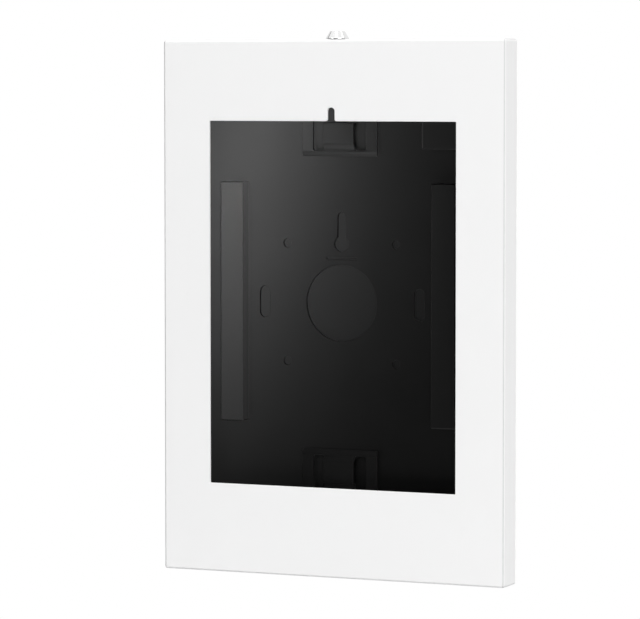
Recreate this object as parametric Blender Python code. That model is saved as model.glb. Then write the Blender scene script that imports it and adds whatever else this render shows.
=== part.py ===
"""Lockable wall mount for a flat tablet.

A white folded steel cover with a window hangs on a black back plate by four hooks, and a small cam lock
in its top wall keeps it from being lifted off. Two slotted clamps slide on the back plate, and foam
strips carry the tablet.

Frame: metres, +X to the right, +Z up, the front faces -Y. The origin is the centre of the hole pattern,
on the wall. Depths are distances from the wall towards the front, so a depth d lies at y = -d.
"""

import math

import bmesh
import bpy
from mathutils import Vector

# Clearances
SEAT = 0.0003                # between pieces that lie on each other
RUNNING = 0.0003             # round shafts, nuts and screws

# Cover
COVER_WIDTH = 0.234
COVER_HEIGHT = 0.339
COVER_DROP = 0.0033          # the cover's centre lies this far under the origin
COVER_SHEET = 0.0012
COVER_BEND = 0.0014          # outer radius of its folds
MOUNT_DEPTH = 0.0200         # wall to front face
WINDOW_WIDTH = 0.1686
WINDOW_HEIGHT = 0.2311
WINDOW_DROP = 0.0005         # the window's centre lies this far under the origin
WINDOW_CORNER = 0.0005
CAMERA_SLOT_WIDTH = 0.0047
CAMERA_SLOT_HEIGHT = 0.0086
CAMERA_SLOT_FILLET = 0.0012

# Hooks that hold the cover on the back plate
HOOK_SPACING = 0.2200        # between the upper and the lower hooks
HOOK_HEIGHT = 0.0080
HOOK_REACH = 0.0050
COVER_LIFT = 0.0090          # the cover is lifted this far to come off

# Back plate
PLATE_SHEET = 0.0015
PLATE_SIDE_GAP = 0.0008      # to the cover's side walls
PLATE_LOCK_GAP = 0.0006      # from the plate's top edge to the lock's nut
PLATE_FOOT_GAP = 0.0010      # to the cover's bottom wall when it is lifted
PLATE_FLANGE = 0.0080
PLATE_BEND = 0.0022
PATTERN = 0.0750             # hole to hole, both ways
PATTERN_HOLE = 0.0053
CABLE_HOLE = 0.0483
KEYHOLE_HEAD = 0.0098
KEYHOLE_NECK = 0.0052
KEYHOLE_LENGTH = 0.0197      # centre of the head to the end of the neck
SIDE_SLOT_WIDTH = 0.0070
SIDE_SLOT_LENGTH = 0.0200
SIDE_SLOT_GAP = 0.0078       # to the foam strip beside it
TIE_SLOT_WIDTH = 0.0205
TIE_SLOT_HEIGHT = 0.0014
TIE_SLOT_CORNER = 0.0004

# Rear pad
PAD_THICKNESS = 0.0015
PAD_HOOK_GAP = 0.0028        # to the cover's hooks
PAD_LOCK_GAP = 0.0090        # to the lock's cam
PAD_FOOT_GAP = 0.0216        # to the plate's lower edge
PAD_CORNER = 0.0060

# Foam strips and block under the tablet
TABLET_THICKNESS = 0.0055    # free room between the foam and the cover's liner
STRIP_WIDTH = 0.0162
STRIP_LENGTH = 0.1529
STRIP_INSET = 0.0343         # plate's side edge to the strip
BLOCK_WIDTH = 0.0340
BLOCK_HEIGHT = 0.0250
BLOCK_INSET = 0.0230         # plate's side edge to the block
BLOCK_GAP = 0.02135          # end of the strip to the block
FOAM_CORNER = 0.0008

# Foam liner inside the cover
LINER_THICKNESS = 0.0010
LINER_WIDTH = 0.0080
LINER_SETBACK = 0.0030       # from the window's edge

# Clamps
CLAMP_SHEET = 0.0015
CLAMP_WIDTH = 0.0518
CLAMP_LENGTH = 0.0470
CLAMP_END_ROOM = 0.0297      # clamp's outer edge to half the cover's height
CLAMP_STANDOFF = 0.0018      # free height between clamp and back plate
CLAMP_BEND = 0.0021
CLAMP_CORNER = 0.0026
SLOT_INNER = 0.0105          # centre line to the slot's near side
SLOT_WIDTH = 0.0075
SLOT_START = 0.0037          # clamp's inner edge to the slot
SLOT_END = 0.0088            # clamp's outer edge to the slot
SLOT_CORNER = 0.0012
BRIDGE_HEIGHT = 0.0022       # the raised middle between the slots
BRIDGE_LEDGE = 0.0003
BRIDGE_START = 0.0026        # clamp's inner edge to the slope
BRIDGE_WASHER_GAP = 0.0010
BRIDGE_SLOPE = 0.0014
JAW_OFFSET = 0.0148          # clamp's outer edge to the pad face that meets the tablet's edge
JAW_SIDE_GAP = 0.0015        # to the slots
JAW_TIP_GAP = 0.0025         # to the cover's liner
JAW_CORNER = 0.0025
JAW_WINDOW = 0.0080          # hole that the bent-out jaw leaves
JAW_WINDOW_LEDGE = 0.0007
JAW_PAD = 0.0015

# Clamp fasteners
SCREW_OFFSET = 0.0178        # clamp's outer edge to the screws
NUT_SHANK = 0.0054
NUT_RIM = 0.0004             # the nut's collar ends this far under the clamp's face
SCREW_SHANK = 0.0037
SCREW_HEAD = 0.0072
SCREW_HEAD_HEIGHT = 0.0022
SCREW_HEAD_RIM = 0.0006
SCREW_SOCKET = 0.0025        # across flats
SCREW_SOCKET_DEPTH = 0.0013
WASHER_OUTER = 0.0092
WASHER_THICKNESS = 0.0010

# Lock
BEZEL_BASE = 0.0148
BEZEL_TOP = 0.0094
BEZEL_HEIGHT = 0.0050
BEZEL_RIM = 0.0005
BARREL = 0.0098
BARREL_FLAT_DEPTH = 0.00065
BARREL_WALL = 0.00065        # thinnest, at the flats
BARREL_LENGTH = 0.0151       # under the cover's top face
PLUG_RECESS = 0.0002
PLUG_RIM = 0.0007            # metal outside the key groove
TAIL_RIM = 0.0002            # from the corners of the square tail to the plug's side
TAIL_CORNER = 0.0005
KEY_GROOVE_WIDTH = 0.0011
KEY_GROOVE_DEPTH = 0.0045
KEY_NOTCH = 0.0011
LOCK_NUT_FLATS = 0.0120
LOCK_NUT_HEIGHT = 0.0030
LOCK_ROOM_GAP = 0.0020       # beside the lock's nut, cut out of the plate's flange
LOCK_WASHER_OUTER = 0.0130
LOCK_WASHER_THICKNESS = 0.0008
LOCK_WASHER_TEETH = 12
LOCK_WASHER_TOOTH = 0.0006
TOOTH_LAND = 0.5             # share of the pitch that a tooth's end takes
TOOTH_FLANK = 0.1            # share of the pitch that a tooth's side takes
CAM_TIP_DEPTH = 0.0010       # wall to the cam's tip when the lock is shut
CAM_WIDTH = 0.0070
CAM_THICKNESS = 0.0018
CAM_SLOT_PLAY = 0.0005       # free room round the cam in the back plate
CAM_SCREW_SHANK = 0.0022
CAM_SCREW_HEAD = 0.0072
CAM_SCREW_HEAD_HEIGHT = 0.0015
CAM_SCREW_LENGTH = 0.0045
CAM_SCREW_SLOT = 0.0009
CAM_SCREW_CHAMFER = 0.0003

# Facets of a full turn, a half turn and a fold
LARGE_ROUND = 48
ROUND = 32
SMALL_ROUND = 24
HALF_ROUND = 10
FOLD_STEPS = 4

# Worked-out depths, from the wall towards the front
COVER_REAR = SEAT
COVER_INSIDE = MOUNT_DEPTH - COVER_SHEET
PLATE_REAR = PAD_THICKNESS + SEAT
PLATE_FRONT = PLATE_REAR + PLATE_SHEET
CLAMP_REAR = PLATE_FRONT + CLAMP_STANDOFF
CLAMP_FRONT = CLAMP_REAR + CLAMP_SHEET
BRIDGE_FRONT = CLAMP_FRONT + BRIDGE_HEIGHT
WASHER_REAR = CLAMP_FRONT + SEAT
WASHER_FRONT = WASHER_REAR + WASHER_THICKNESS
HEAD_REAR = WASHER_FRONT + SEAT
LINER_REAR = COVER_INSIDE - SEAT - LINER_THICKNESS
FOAM_DEPTH = LINER_REAR - TABLET_THICKNESS
JAW_DEPTH = LINER_REAR - JAW_TIP_GAP
LOCK_DEPTH = MOUNT_DEPTH / 2

# Worked-out heights
COVER_TOP = COVER_HEIGHT / 2 - COVER_DROP
COVER_FOOT = -COVER_HEIGHT / 2 - COVER_DROP
LOCK_WASHER_FOOT = COVER_TOP - COVER_SHEET - SEAT - LOCK_WASHER_THICKNESS
LOCK_NUT_FOOT = LOCK_WASHER_FOOT - SEAT - LOCK_NUT_HEIGHT
PLATE_TOP = LOCK_NUT_FOOT - PLATE_LOCK_GAP
PLATE_FOOT = COVER_FOOT + COVER_SHEET + COVER_LIFT + PLATE_FOOT_GAP
CLAMP_OUTER = COVER_HEIGHT / 2 - CLAMP_END_ROOM
CLAMP_INNER = CLAMP_OUTER - CLAMP_LENGTH
SCREW_HEIGHT = CLAMP_OUTER - SCREW_OFFSET
BRIDGE_END = SCREW_HEIGHT - WASHER_OUTER / 2 - BRIDGE_WASHER_GAP
JAW_FACE = CLAMP_OUTER - JAW_OFFSET
BARREL_FOOT = COVER_TOP - BARREL_LENGTH
CAM_TOP = BARREL_FOOT - SEAT
CAM_FOOT = CAM_TOP - CAM_THICKNESS
JAW_LOW = JAW_FACE + JAW_PAD + SEAT
JAW_HIGH = JAW_LOW + CLAMP_SHEET
BEZEL_SEAT = COVER_TOP + SEAT
BEZEL_END = BEZEL_SEAT + BEZEL_HEIGHT
CAM_SCREW_END = CAM_FOOT + CAM_SCREW_LENGTH
PAD_TOP = CAM_FOOT - PAD_LOCK_GAP
PAD_FOOT = PLATE_FOOT + PAD_FOOT_GAP

# Worked-out places and widths
INSIDE_HALF_WIDTH = COVER_WIDTH / 2 - COVER_SHEET
PLATE_HALF_WIDTH = INSIDE_HALF_WIDTH - PLATE_SIDE_GAP
PAD_HALF_WIDTH = INSIDE_HALF_WIDTH - HOOK_REACH - PAD_HOOK_GAP
STRIP_MIDDLE = PLATE_HALF_WIDTH - STRIP_INSET - STRIP_WIDTH / 2
BLOCK_MIDDLE = PLATE_HALF_WIDTH - BLOCK_INSET - BLOCK_WIDTH / 2
SIDE_SLOT_MIDDLE = STRIP_MIDDLE - STRIP_WIDTH / 2 - SIDE_SLOT_GAP - SIDE_SLOT_WIDTH / 2
SLOT_MIDDLE = SLOT_INNER + SLOT_WIDTH / 2
JAW_WIDTH = 2 * (SLOT_INNER - JAW_SIDE_GAP)

# Worked-out parts of the lock
LOCK_AXIS = (0.0, -LOCK_DEPTH)
BARREL_FLATS = BARREL - 2 * BARREL_FLAT_DEPTH
PLUG = BARREL_FLATS - 2 * BARREL_WALL - 2 * RUNNING
PLUG_TAIL = (PLUG - 2 * TAIL_RIM) / math.sqrt(2)
KEY_GROOVE_OUTER = PLUG - 2 * PLUG_RIM
KEY_GROOVE_INNER = KEY_GROOVE_OUTER - 2 * KEY_GROOVE_WIDTH
CAM_REACH = LOCK_DEPTH - CAM_TIP_DEPTH


def clear_scene():
    """Remove every object of the open file."""
    for item in list(bpy.data.objects):
        bpy.data.objects.remove(item, do_unlink=True)


def make_material(name, colour, roughness, metallic=0.0):
    """A Principled material."""
    material = bpy.data.materials.new(name)
    material.use_nodes = True
    shader = material.node_tree.nodes["Principled BSDF"]
    shader.inputs["Base Color"].default_value = (*colour, 1.0)
    shader.inputs["Roughness"].default_value = roughness
    shader.inputs["Metallic"].default_value = metallic
    return material


def arc(centre, radius, start, end, steps):
    """Points on an arc, angles in degrees."""
    angles = [math.radians(start + (end - start) * i / steps) for i in range(steps + 1)]
    return [(centre[0] + radius * math.cos(a), centre[1] + radius * math.sin(a)) for a in angles]


def circle(centre, radius, steps=ROUND):
    """Points round a full circle."""
    return arc(centre, radius, 0.0, 360.0, steps)[:-1]


def rectangle(x_range, z_range):
    """Outline of a plain rectangle between two places each way."""
    low, high = z_range
    return [(x_range[0], low), (x_range[1], low), (x_range[1], high), (x_range[0], high)]


def stadium(centre, width, length):
    """Outline of an upright slot with round ends."""
    radius = width / 2
    reach = length / 2 - radius
    top = arc((centre[0], centre[1] + reach), radius, 0, 180, HALF_ROUND)
    return top + arc((centre[0], centre[1] - reach), radius, 180, 360, HALF_ROUND)


def rounded_box(centre, width, height, radius):
    """Outline of a rectangle with rounded corners, anticlockwise."""
    half_w = width / 2 - radius
    half_h = height / 2 - radius
    points = []
    for sign_x, sign_z, start in ((1, 1, 0), (-1, 1, 90), (-1, -1, 180), (1, -1, 270)):
        corner = (centre[0] + sign_x * half_w, centre[1] + sign_z * half_h)
        points += arc(corner, radius, start, start + 90, FOLD_STEPS)
    return points


def double_d(centre, radius, flats):
    """Outline of a round with two flats that face +X and -X."""
    edge = math.degrees(math.acos(flats / 2 / radius))
    first = arc(centre, radius, edge, 180 - edge, HALF_ROUND)
    return first + arc(centre, radius, 180 + edge, 360 - edge, HALF_ROUND)


def bent_strip(path, thickness, radius):
    """Outline of a sheet that follows a path along its outer face, with a fold at each right-hand turn."""
    outer = []
    inner = []
    for index, point in enumerate(path):
        here = Vector(point)
        before = (here - Vector(path[index - 1])).normalized() if index else None
        after = (Vector(path[index + 1]) - here).normalized() if index + 1 < len(path) else None
        if before is None or after is None:
            along = after or before
            normal = Vector((-along.y, along.x))
            outer.append(here)
            inner.append(here - normal * thickness)
            continue
        centre = here - before * radius + after * radius
        start = math.degrees(math.atan2(before.x, -before.y))
        for step in range(FOLD_STEPS + 1):
            angle = math.radians(start - 90.0 * step / FOLD_STEPS)
            ray = Vector((math.cos(angle), math.sin(angle)))
            outer.append(centre + ray * radius)
            inner.append(centre + ray * (radius - thickness))
    return [tuple(p) for p in outer] + [tuple(p) for p in reversed(inner)]


def place(axis, pair, along):
    """A point from two coordinates across an axis and one along it."""
    if axis == "X":
        return (along, pair[0], pair[1])
    if axis == "Y":
        return (pair[0], along, pair[1])
    return (pair[0], pair[1], along)


def prism_mesh(outlines, axis, low, high):
    """Closed mesh of one or more outlines, each extruded along an axis."""
    shape = bmesh.new()
    for outline in outlines:
        first = [shape.verts.new(place(axis, pair, low)) for pair in outline]
        second = [shape.verts.new(place(axis, pair, high)) for pair in outline]
        shape.faces.new(first)
        shape.faces.new(second)
        for i in range(len(outline)):
            j = (i + 1) % len(outline)
            shape.faces.new((first[i], first[j], second[j], second[i]))
    bmesh.ops.recalc_face_normals(shape, faces=shape.faces)
    return shape


def turned_mesh(profile, centre, axis="Z", steps=ROUND):
    """Closed mesh of a profile of (radius, place along the axis) points turned round that axis."""
    shape = bmesh.new()
    verts = [shape.verts.new((radius, 0.0, along)) for radius, along in profile]
    edges = [shape.edges.new((verts[i], verts[(i + 1) % len(verts)])) for i in range(len(verts))]
    bmesh.ops.spin(shape, geom=verts + edges, axis=(0, 0, 1), cent=(0, 0, 0), angle=math.tau, steps=steps)
    bmesh.ops.remove_doubles(shape, verts=shape.verts, dist=1e-6)
    bmesh.ops.dissolve_degenerate(shape, edges=shape.edges, dist=1e-7)
    for vert in shape.verts:
        x, y, z = vert.co
        vert.co = (x + centre[0], y + centre[1], z) if axis == "Z" else (x + centre[0], -z, y + centre[1])
    bmesh.ops.recalc_face_normals(shape, faces=shape.faces)
    return shape


def make_object(name, shape, material=None, parent=None, smooth=False):
    """Turn a mesh under construction into a named object, parented without moving it."""
    mesh = bpy.data.meshes.new(name)
    shape.to_mesh(mesh)
    shape.free()
    if smooth:
        mesh.shade_smooth()
        mesh.set_sharp_from_angle(angle=math.radians(35))
    item = bpy.data.objects.new(name, mesh)
    bpy.context.scene.collection.objects.link(item)
    if material:
        mesh.materials.append(material)
    if parent:
        item.parent = parent
        item.matrix_parent_inverse = parent.matrix_world.inverted()
    return item


def carve(target, name, shape, operation="DIFFERENCE"):
    """Cut a helper shape out of an object, or join it on, with a Boolean."""
    helper = make_object(name, shape)
    helper.hide_render = True
    helper.display_type = "WIRE"
    if target.parent:
        helper.parent = target.parent
        helper.matrix_parent_inverse = target.parent.matrix_world.inverted()
    modifier = target.modifiers.new(name, "BOOLEAN")
    modifier.operation = operation
    modifier.solver = "EXACT"
    modifier.object = helper


def make_empty(name, location):
    """An empty on a joint's axis."""
    empty = bpy.data.objects.new(name, None)
    empty.location = location
    empty.empty_display_size = 0.01
    bpy.context.scene.collection.objects.link(empty)
    bpy.context.view_layer.update()
    return empty


def block(x_range, depth_range, z_range):
    """Closed box between two places on each axis, the middle pair given as depths."""
    return prism_mesh([rectangle(x_range, z_range)], "Y", -depth_range[0], -depth_range[1])


def window_outline():
    """The window with the camera slot that opens into its upper edge."""
    half_w = WINDOW_WIDTH / 2
    top = WINDOW_HEIGHT / 2 - WINDOW_DROP
    foot = -WINDOW_HEIGHT / 2 - WINDOW_DROP
    corner = WINDOW_CORNER
    slot = CAMERA_SLOT_WIDTH / 2
    fillet = CAMERA_SLOT_FILLET
    points = arc((half_w - corner, foot + corner), corner, -90, 0, FOLD_STEPS)
    points += arc((half_w - corner, top - corner), corner, 0, 90, FOLD_STEPS)
    points += arc((slot + fillet, top + fillet), fillet, 270, 180, FOLD_STEPS)
    points += arc((0.0, top + CAMERA_SLOT_HEIGHT - slot), slot, 0, 180, HALF_ROUND)
    points += arc((-slot - fillet, top + fillet), fillet, 0, -90, FOLD_STEPS)
    points += arc((-half_w + corner, top - corner), corner, 90, 180, FOLD_STEPS)
    points += arc((-half_w + corner, foot + corner), corner, 180, 270, FOLD_STEPS)
    return points


def cover_blank():
    """The folded cover before its cuts: a closed box, rounded at its front and corner folds."""
    shape = block((-COVER_WIDTH / 2, COVER_WIDTH / 2), (COVER_REAR, MOUNT_DEPTH), (COVER_FOOT, COVER_TOP))
    rear = [v for v in shape.verts if abs(v.co.y + COVER_REAR) < 1e-6]
    folds = [e for e in shape.edges if not (e.verts[0] in rear and e.verts[1] in rear)]
    bmesh.ops.bevel(shape, geom=folds, offset=COVER_BEND, segments=FOLD_STEPS, profile=0.5, affect="EDGES")
    return shape


def at_hooks(reach_from, reach_to, low, high):
    """Rectangles at the cover's four hooks; low and high are measured from each hook's middle."""
    outlines = []
    for side in (-1, 1):
        for level in (-1, 1):
            middle = level * HOOK_SPACING / 2
            outlines.append(rectangle((side * reach_from, side * reach_to), (middle + low, middle + high)))
    return outlines


def build_cover(material):
    """Front face, side walls, window, lock hole and the four hooks folded in from the side walls."""
    cover = make_object("front_cover", cover_blank(), material, smooth=True)
    across = (-INSIDE_HALF_WIDTH, INSIDE_HALF_WIDTH)
    heights = (COVER_FOOT + COVER_SHEET, COVER_TOP - COVER_SHEET)
    carve(cover, "cover_cavity", block(across, (-COVER_SHEET, COVER_INSIDE), heights))
    opening = prism_mesh([window_outline()], "Y", -COVER_INSIDE + COVER_SHEET, -MOUNT_DEPTH - COVER_SHEET)
    carve(cover, "cover_window", opening)
    lock_hole = double_d(LOCK_AXIS, BARREL / 2 + RUNNING, BARREL_FLATS + 2 * RUNNING)
    hole = prism_mesh([lock_hole], "Z", COVER_TOP - 2 * COVER_SHEET, COVER_TOP + COVER_SHEET)
    carve(cover, "cover_lock_hole", hole)
    tip = INSIDE_HALF_WIDTH - HOOK_REACH
    hooks = at_hooks(tip, INSIDE_HALF_WIDTH + COVER_SHEET / 2, -HOOK_HEIGHT / 2, HOOK_HEIGHT / 2)
    carve(cover, "cover_hooks", prism_mesh(hooks, "Y", -COVER_REAR, -COVER_REAR - COVER_SHEET), "UNION")


def keyhole_outline():
    """Round head level with the upper holes, with a narrow neck that runs up."""
    centre = (0.0, PATTERN / 2)
    head = KEYHOLE_HEAD / 2
    neck = KEYHOLE_NECK / 2
    meet = math.degrees(math.asin(neck / head))
    end = (0.0, centre[1] + KEYHOLE_LENGTH - neck)
    return arc(centre, head, 90 + meet, 450 - meet, SMALL_ROUND) + arc(end, neck, 0, 180, HALF_ROUND)


def plate_holes():
    """Outlines of every hole in the back plate's face; the tie slot lies midway between its neighbours."""
    outlines = [keyhole_outline(), circle((0.0, 0.0), CABLE_HOLE / 2, LARGE_ROUND)]
    for side in (-1, 1):
        for level in (-1, 1):
            outlines.append(circle((side * PATTERN / 2, level * PATTERN / 2), PATTERN_HOLE / 2, SMALL_ROUND))
            nut = (side * SLOT_MIDDLE, level * SCREW_HEIGHT)
            outlines.append(circle(nut, NUT_SHANK / 2 + RUNNING, SMALL_ROUND))
        outlines.append(stadium((side * SIDE_SLOT_MIDDLE, 0.0), SIDE_SLOT_WIDTH, SIDE_SLOT_LENGTH))
    tie_middle = (CABLE_HOLE + PATTERN - KEYHOLE_HEAD) / 4
    outlines.append(rounded_box((0.0, tie_middle), TIE_SLOT_WIDTH, TIE_SLOT_HEIGHT, TIE_SLOT_CORNER))
    sweep = math.sqrt(CAM_REACH ** 2 - (LOCK_DEPTH - PLATE_FRONT) ** 2)
    cam_middle = (CAM_TOP + CAM_FOOT) / 2
    cam_height = CAM_THICKNESS + 2 * CAM_SLOT_PLAY
    outlines.append(rounded_box((0.0, cam_middle), 2 * (sweep + CAM_SLOT_PLAY), cam_height, CAM_SLOT_PLAY))
    return outlines


def build_back_plate(material):
    """Flat plate with a short flange at its top and foot, notched for the cover's hooks and the lock."""
    path = [
        (-PLATE_REAR - PLATE_FLANGE, PLATE_TOP),
        (-PLATE_REAR, PLATE_TOP),
        (-PLATE_REAR, PLATE_FOOT),
        (-PLATE_REAR - PLATE_FLANGE, PLATE_FOOT),
    ]
    blank = prism_mesh([bent_strip(path, PLATE_SHEET, PLATE_BEND)], "X", -PLATE_HALF_WIDTH, PLATE_HALF_WIDTH)
    plate = make_object("back_plate", blank, material)
    beyond = PLATE_SHEET / 2
    cuts = prism_mesh(plate_holes(), "Y", -PLATE_REAR + beyond, -PLATE_FRONT - beyond)
    carve(plate, "plate_holes", cuts)
    notch_end = INSIDE_HALF_WIDTH - HOOK_REACH - RUNNING
    play = RUNNING + HOOK_HEIGHT / 2
    notches = at_hooks(notch_end, PLATE_HALF_WIDTH + beyond, COVER_LIFT - play, COVER_LIFT + play)
    carve(plate, "plate_notches", prism_mesh(notches, "Y", -PLATE_REAR + beyond, -PLATE_FRONT - beyond))
    room = LOCK_NUT_FLATS / 2 / math.cos(math.pi / 6) + LOCK_ROOM_GAP
    depths = (PLATE_FRONT + RUNNING, PLATE_REAR + PLATE_FLANGE + beyond)
    lock_room = block((-room, room), depths, (PLATE_TOP - 2 * PLATE_SHEET, PLATE_TOP + PLATE_SHEET))
    carve(plate, "plate_lock_room", lock_room)


def build_rear_pad(material):
    """Thin pad on the plate's rear face, which closes the holes that are not in use."""
    outline = rounded_box((0.0, (PAD_TOP + PAD_FOOT) / 2), 2 * PAD_HALF_WIDTH, PAD_TOP - PAD_FOOT, PAD_CORNER)
    make_object("rear_pad", prism_mesh([outline], "Y", 0.0, -PAD_THICKNESS), material)


def build_foam(material):
    """Two long strips and one block that carry the tablet's back."""
    depths = (-PLATE_FRONT - SEAT, -FOAM_DEPTH)
    for name, side in (("left_foam_strip", -1), ("right_foam_strip", 1)):
        outline = rounded_box((side * STRIP_MIDDLE, 0.0), STRIP_WIDTH, STRIP_LENGTH, FOAM_CORNER)
        make_object(name, prism_mesh([outline], "Y", *depths), material)
    middle = (BLOCK_MIDDLE, STRIP_LENGTH / 2 + BLOCK_GAP + BLOCK_HEIGHT / 2)
    outline = rounded_box(middle, BLOCK_WIDTH, BLOCK_HEIGHT, FOAM_CORNER)
    make_object("corner_foam_block", prism_mesh([outline], "Y", *depths), material)


def build_liners(material):
    """Four thin foam strips inside the cover, set back from the window's edge."""
    depths = (-COVER_INSIDE + SEAT, -LINER_REAR)
    across = WINDOW_WIDTH / 2 + LINER_SETBACK + LINER_WIDTH / 2
    upright = WINDOW_HEIGHT / 2 + LINER_SETBACK + LINER_WIDTH / 2
    for name, side in (("left_cover_liner", -1), ("right_cover_liner", 1)):
        outline = rounded_box((side * across, -WINDOW_DROP), LINER_WIDTH, WINDOW_HEIGHT, FOAM_CORNER)
        make_object(name, prism_mesh([outline], "Y", *depths), material)
    for name, side in (("top_cover_liner", 1), ("bottom_cover_liner", -1)):
        rise = CAMERA_SLOT_HEIGHT if side > 0 else 0.0
        middle = (0.0, side * (upright + rise) - WINDOW_DROP)
        outline = rounded_box(middle, WINDOW_WIDTH, LINER_WIDTH, FOAM_CORNER)
        make_object(name, prism_mesh([outline], "Y", *depths), material)


def flip(outline, level):
    """Mirror an outline's second coordinate for the lower clamp."""
    return [(first, level * second) for first, second in outline]


def add_bridge(clamp, name, level):
    """The middle between the slots, raised like a bridge: open at its sides, with a slope at each end."""
    half = SLOT_INNER - BRIDGE_LEDGE
    low = CLAMP_INNER + BRIDGE_START
    high = BRIDGE_END
    root = -CLAMP_FRONT + CLAMP_SHEET / 2
    deck = [(root, low), (-BRIDGE_FRONT, low + BRIDGE_SLOPE), (-BRIDGE_FRONT, high - BRIDGE_SLOPE), (root, high)]
    carve(clamp, name + "_bridge", prism_mesh([flip(deck, level)], "X", -half, half), "UNION")
    rear = -CLAMP_REAR + CLAMP_STANDOFF / 2
    under = -BRIDGE_FRONT + CLAMP_SHEET
    low += CLAMP_SHEET
    high -= CLAMP_SHEET
    half = SLOT_INNER + BRIDGE_LEDGE
    arch = [(rear, low), (under, low + BRIDGE_SLOPE), (under, high - BRIDGE_SLOPE), (rear, high)]
    carve(clamp, name + "_arch", prism_mesh([flip(arch, level)], "X", -half, half))


def cut_clamp_slots(clamp, name, level):
    """The two long slots, the hole that the bent-out jaw leaves, and the round inner corners."""
    beyond = CLAMP_SHEET / 2
    low = CLAMP_INNER + SLOT_START
    high = CLAMP_OUTER - SLOT_END
    cuts = []
    for side in (-1, 1):
        cuts.append(rounded_box((side * SLOT_MIDDLE, (low + high) / 2), SLOT_WIDTH, high - low, SLOT_CORNER))
    hole_middle = JAW_HIGH + JAW_WINDOW_LEDGE + JAW_WINDOW / 2
    cuts.append(rounded_box((0.0, hole_middle), JAW_WIDTH, JAW_WINDOW, SLOT_CORNER))
    outlines = [flip(outline, level) for outline in cuts]
    carve(clamp, name + "_slots", prism_mesh(outlines, "Y", -CLAMP_REAR + beyond, -CLAMP_FRONT - beyond))
    corners = []
    for side in (-1, 1):
        centre = (side * (CLAMP_WIDTH / 2 - CLAMP_CORNER), CLAMP_INNER + CLAMP_CORNER)
        outer = (side * (CLAMP_WIDTH / 2 + beyond), CLAMP_INNER - beyond)
        curve = arc(centre, CLAMP_CORNER, 270, 270 + side * 90, FOLD_STEPS)
        corners.append([(centre[0], outer[1])] + curve + [(outer[0], centre[1]), outer])
    outlines = [flip(outline, level) for outline in corners]
    carve(clamp, name + "_corners", prism_mesh(outlines, "Y", -PLATE_FRONT, -CLAMP_FRONT - beyond))


def add_jaw(clamp, name, level):
    """The tongue that is bent out to stop the tablet's edge."""
    root = -CLAMP_FRONT + CLAMP_SHEET / 2
    half = JAW_WIDTH / 2
    tip = -JAW_DEPTH + JAW_CORNER
    outline = [(half, root)] + arc((half - JAW_CORNER, tip), JAW_CORNER, 0, -90, FOLD_STEPS)
    outline += arc((-half + JAW_CORNER, tip), JAW_CORNER, -90, -180, FOLD_STEPS) + [(-half, root)]
    carve(clamp, name + "_jaw", prism_mesh([outline], "Z", level * JAW_LOW, level * JAW_HIGH), "UNION")


def build_clamp(name, level, steel, foam):
    """Slotted sheet with a foot folded back, a raised middle and a bent-out jaw with its pad."""
    slide = make_empty(name + "_slide", (0.0, -CLAMP_FRONT, level * SCREW_HEIGHT))
    path = [
        (-PLATE_FRONT - SEAT, CLAMP_INNER),
        (-CLAMP_FRONT, CLAMP_INNER),
        (-CLAMP_FRONT, CLAMP_OUTER),
    ]
    fold = flip(bent_strip(path, CLAMP_SHEET, CLAMP_BEND), level)
    clamp = make_object(name, prism_mesh([fold], "X", -CLAMP_WIDTH / 2, CLAMP_WIDTH / 2), steel, slide)
    add_bridge(clamp, name, level)
    cut_clamp_slots(clamp, name, level)
    add_jaw(clamp, name, level)

    pad_rear = CLAMP_FRONT + SEAT
    outline = rounded_box((0.0, -(pad_rear + JAW_DEPTH) / 2), JAW_WIDTH, JAW_DEPTH - pad_rear, FOAM_CORNER)
    pad = prism_mesh([outline], "Z", level * JAW_FACE, level * (JAW_FACE + JAW_PAD))
    make_object(name + "_pad", pad, foam, slide)


def build_guide_nut(tag, centre, metal):
    """Nut pressed into the back plate, whose collar guides the clamp's slot."""
    bore = SCREW_SHANK / 2 + RUNNING
    shank = NUT_SHANK / 2
    collar = SLOT_WIDTH / 2 - RUNNING
    rear = PLATE_REAR + SEAT
    step = PLATE_FRONT + SEAT
    front = CLAMP_FRONT - NUT_RIM
    profile = [(bore, rear), (shank, rear), (shank, step), (collar, step), (collar, front), (bore, front)]
    make_object("guide_nut_" + tag, turned_mesh(profile, centre, "Y", SMALL_ROUND), metal, smooth=True)


def build_clamp_washer(tag, centre, metal):
    """Flat washer that spans the clamp's slot."""
    bore = SCREW_SHANK / 2 + RUNNING
    outer = WASHER_OUTER / 2
    profile = [(bore, WASHER_REAR), (outer, WASHER_REAR), (outer, WASHER_FRONT), (bore, WASHER_FRONT)]
    make_object("clamp_washer_" + tag, turned_mesh(profile, centre, "Y", SMALL_ROUND), metal, smooth=True)


def build_clamp_screw(tag, centre, metal):
    """Low-headed socket screw."""
    head = SCREW_HEAD / 2
    shank = SCREW_SHANK / 2
    rear = PLATE_REAR + SEAT
    end = HEAD_REAR + SCREW_HEAD_HEIGHT
    profile = [
        (0.0, rear), (shank, rear), (shank, HEAD_REAR), (head, HEAD_REAR),
        (head, end - SCREW_HEAD_RIM), (head - SCREW_HEAD_RIM, end), (0.0, end),
    ]
    name = "clamp_screw_" + tag
    screw = make_object(name, turned_mesh(profile, centre, "Y", SMALL_ROUND), metal, smooth=True)
    socket = circle(centre, SCREW_SOCKET / 2 / math.cos(math.pi / 6), 6)
    carve(screw, name + "_socket", prism_mesh([socket], "Y", -end + SCREW_SOCKET_DEPTH, -end - SCREW_HEAD_RIM))


def build_clamp_fasteners(label, level, metal):
    """A guide nut, a washer and a screw at each of the clamp's slots."""
    for side_name, side in (("left", -1), ("right", 1)):
        centre = (side * SLOT_MIDDLE, level * SCREW_HEIGHT)
        tag = label + "_" + side_name
        build_guide_nut(tag, centre, metal)
        build_clamp_washer(tag, centre, metal)
        build_clamp_screw(tag, centre, metal)


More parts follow.
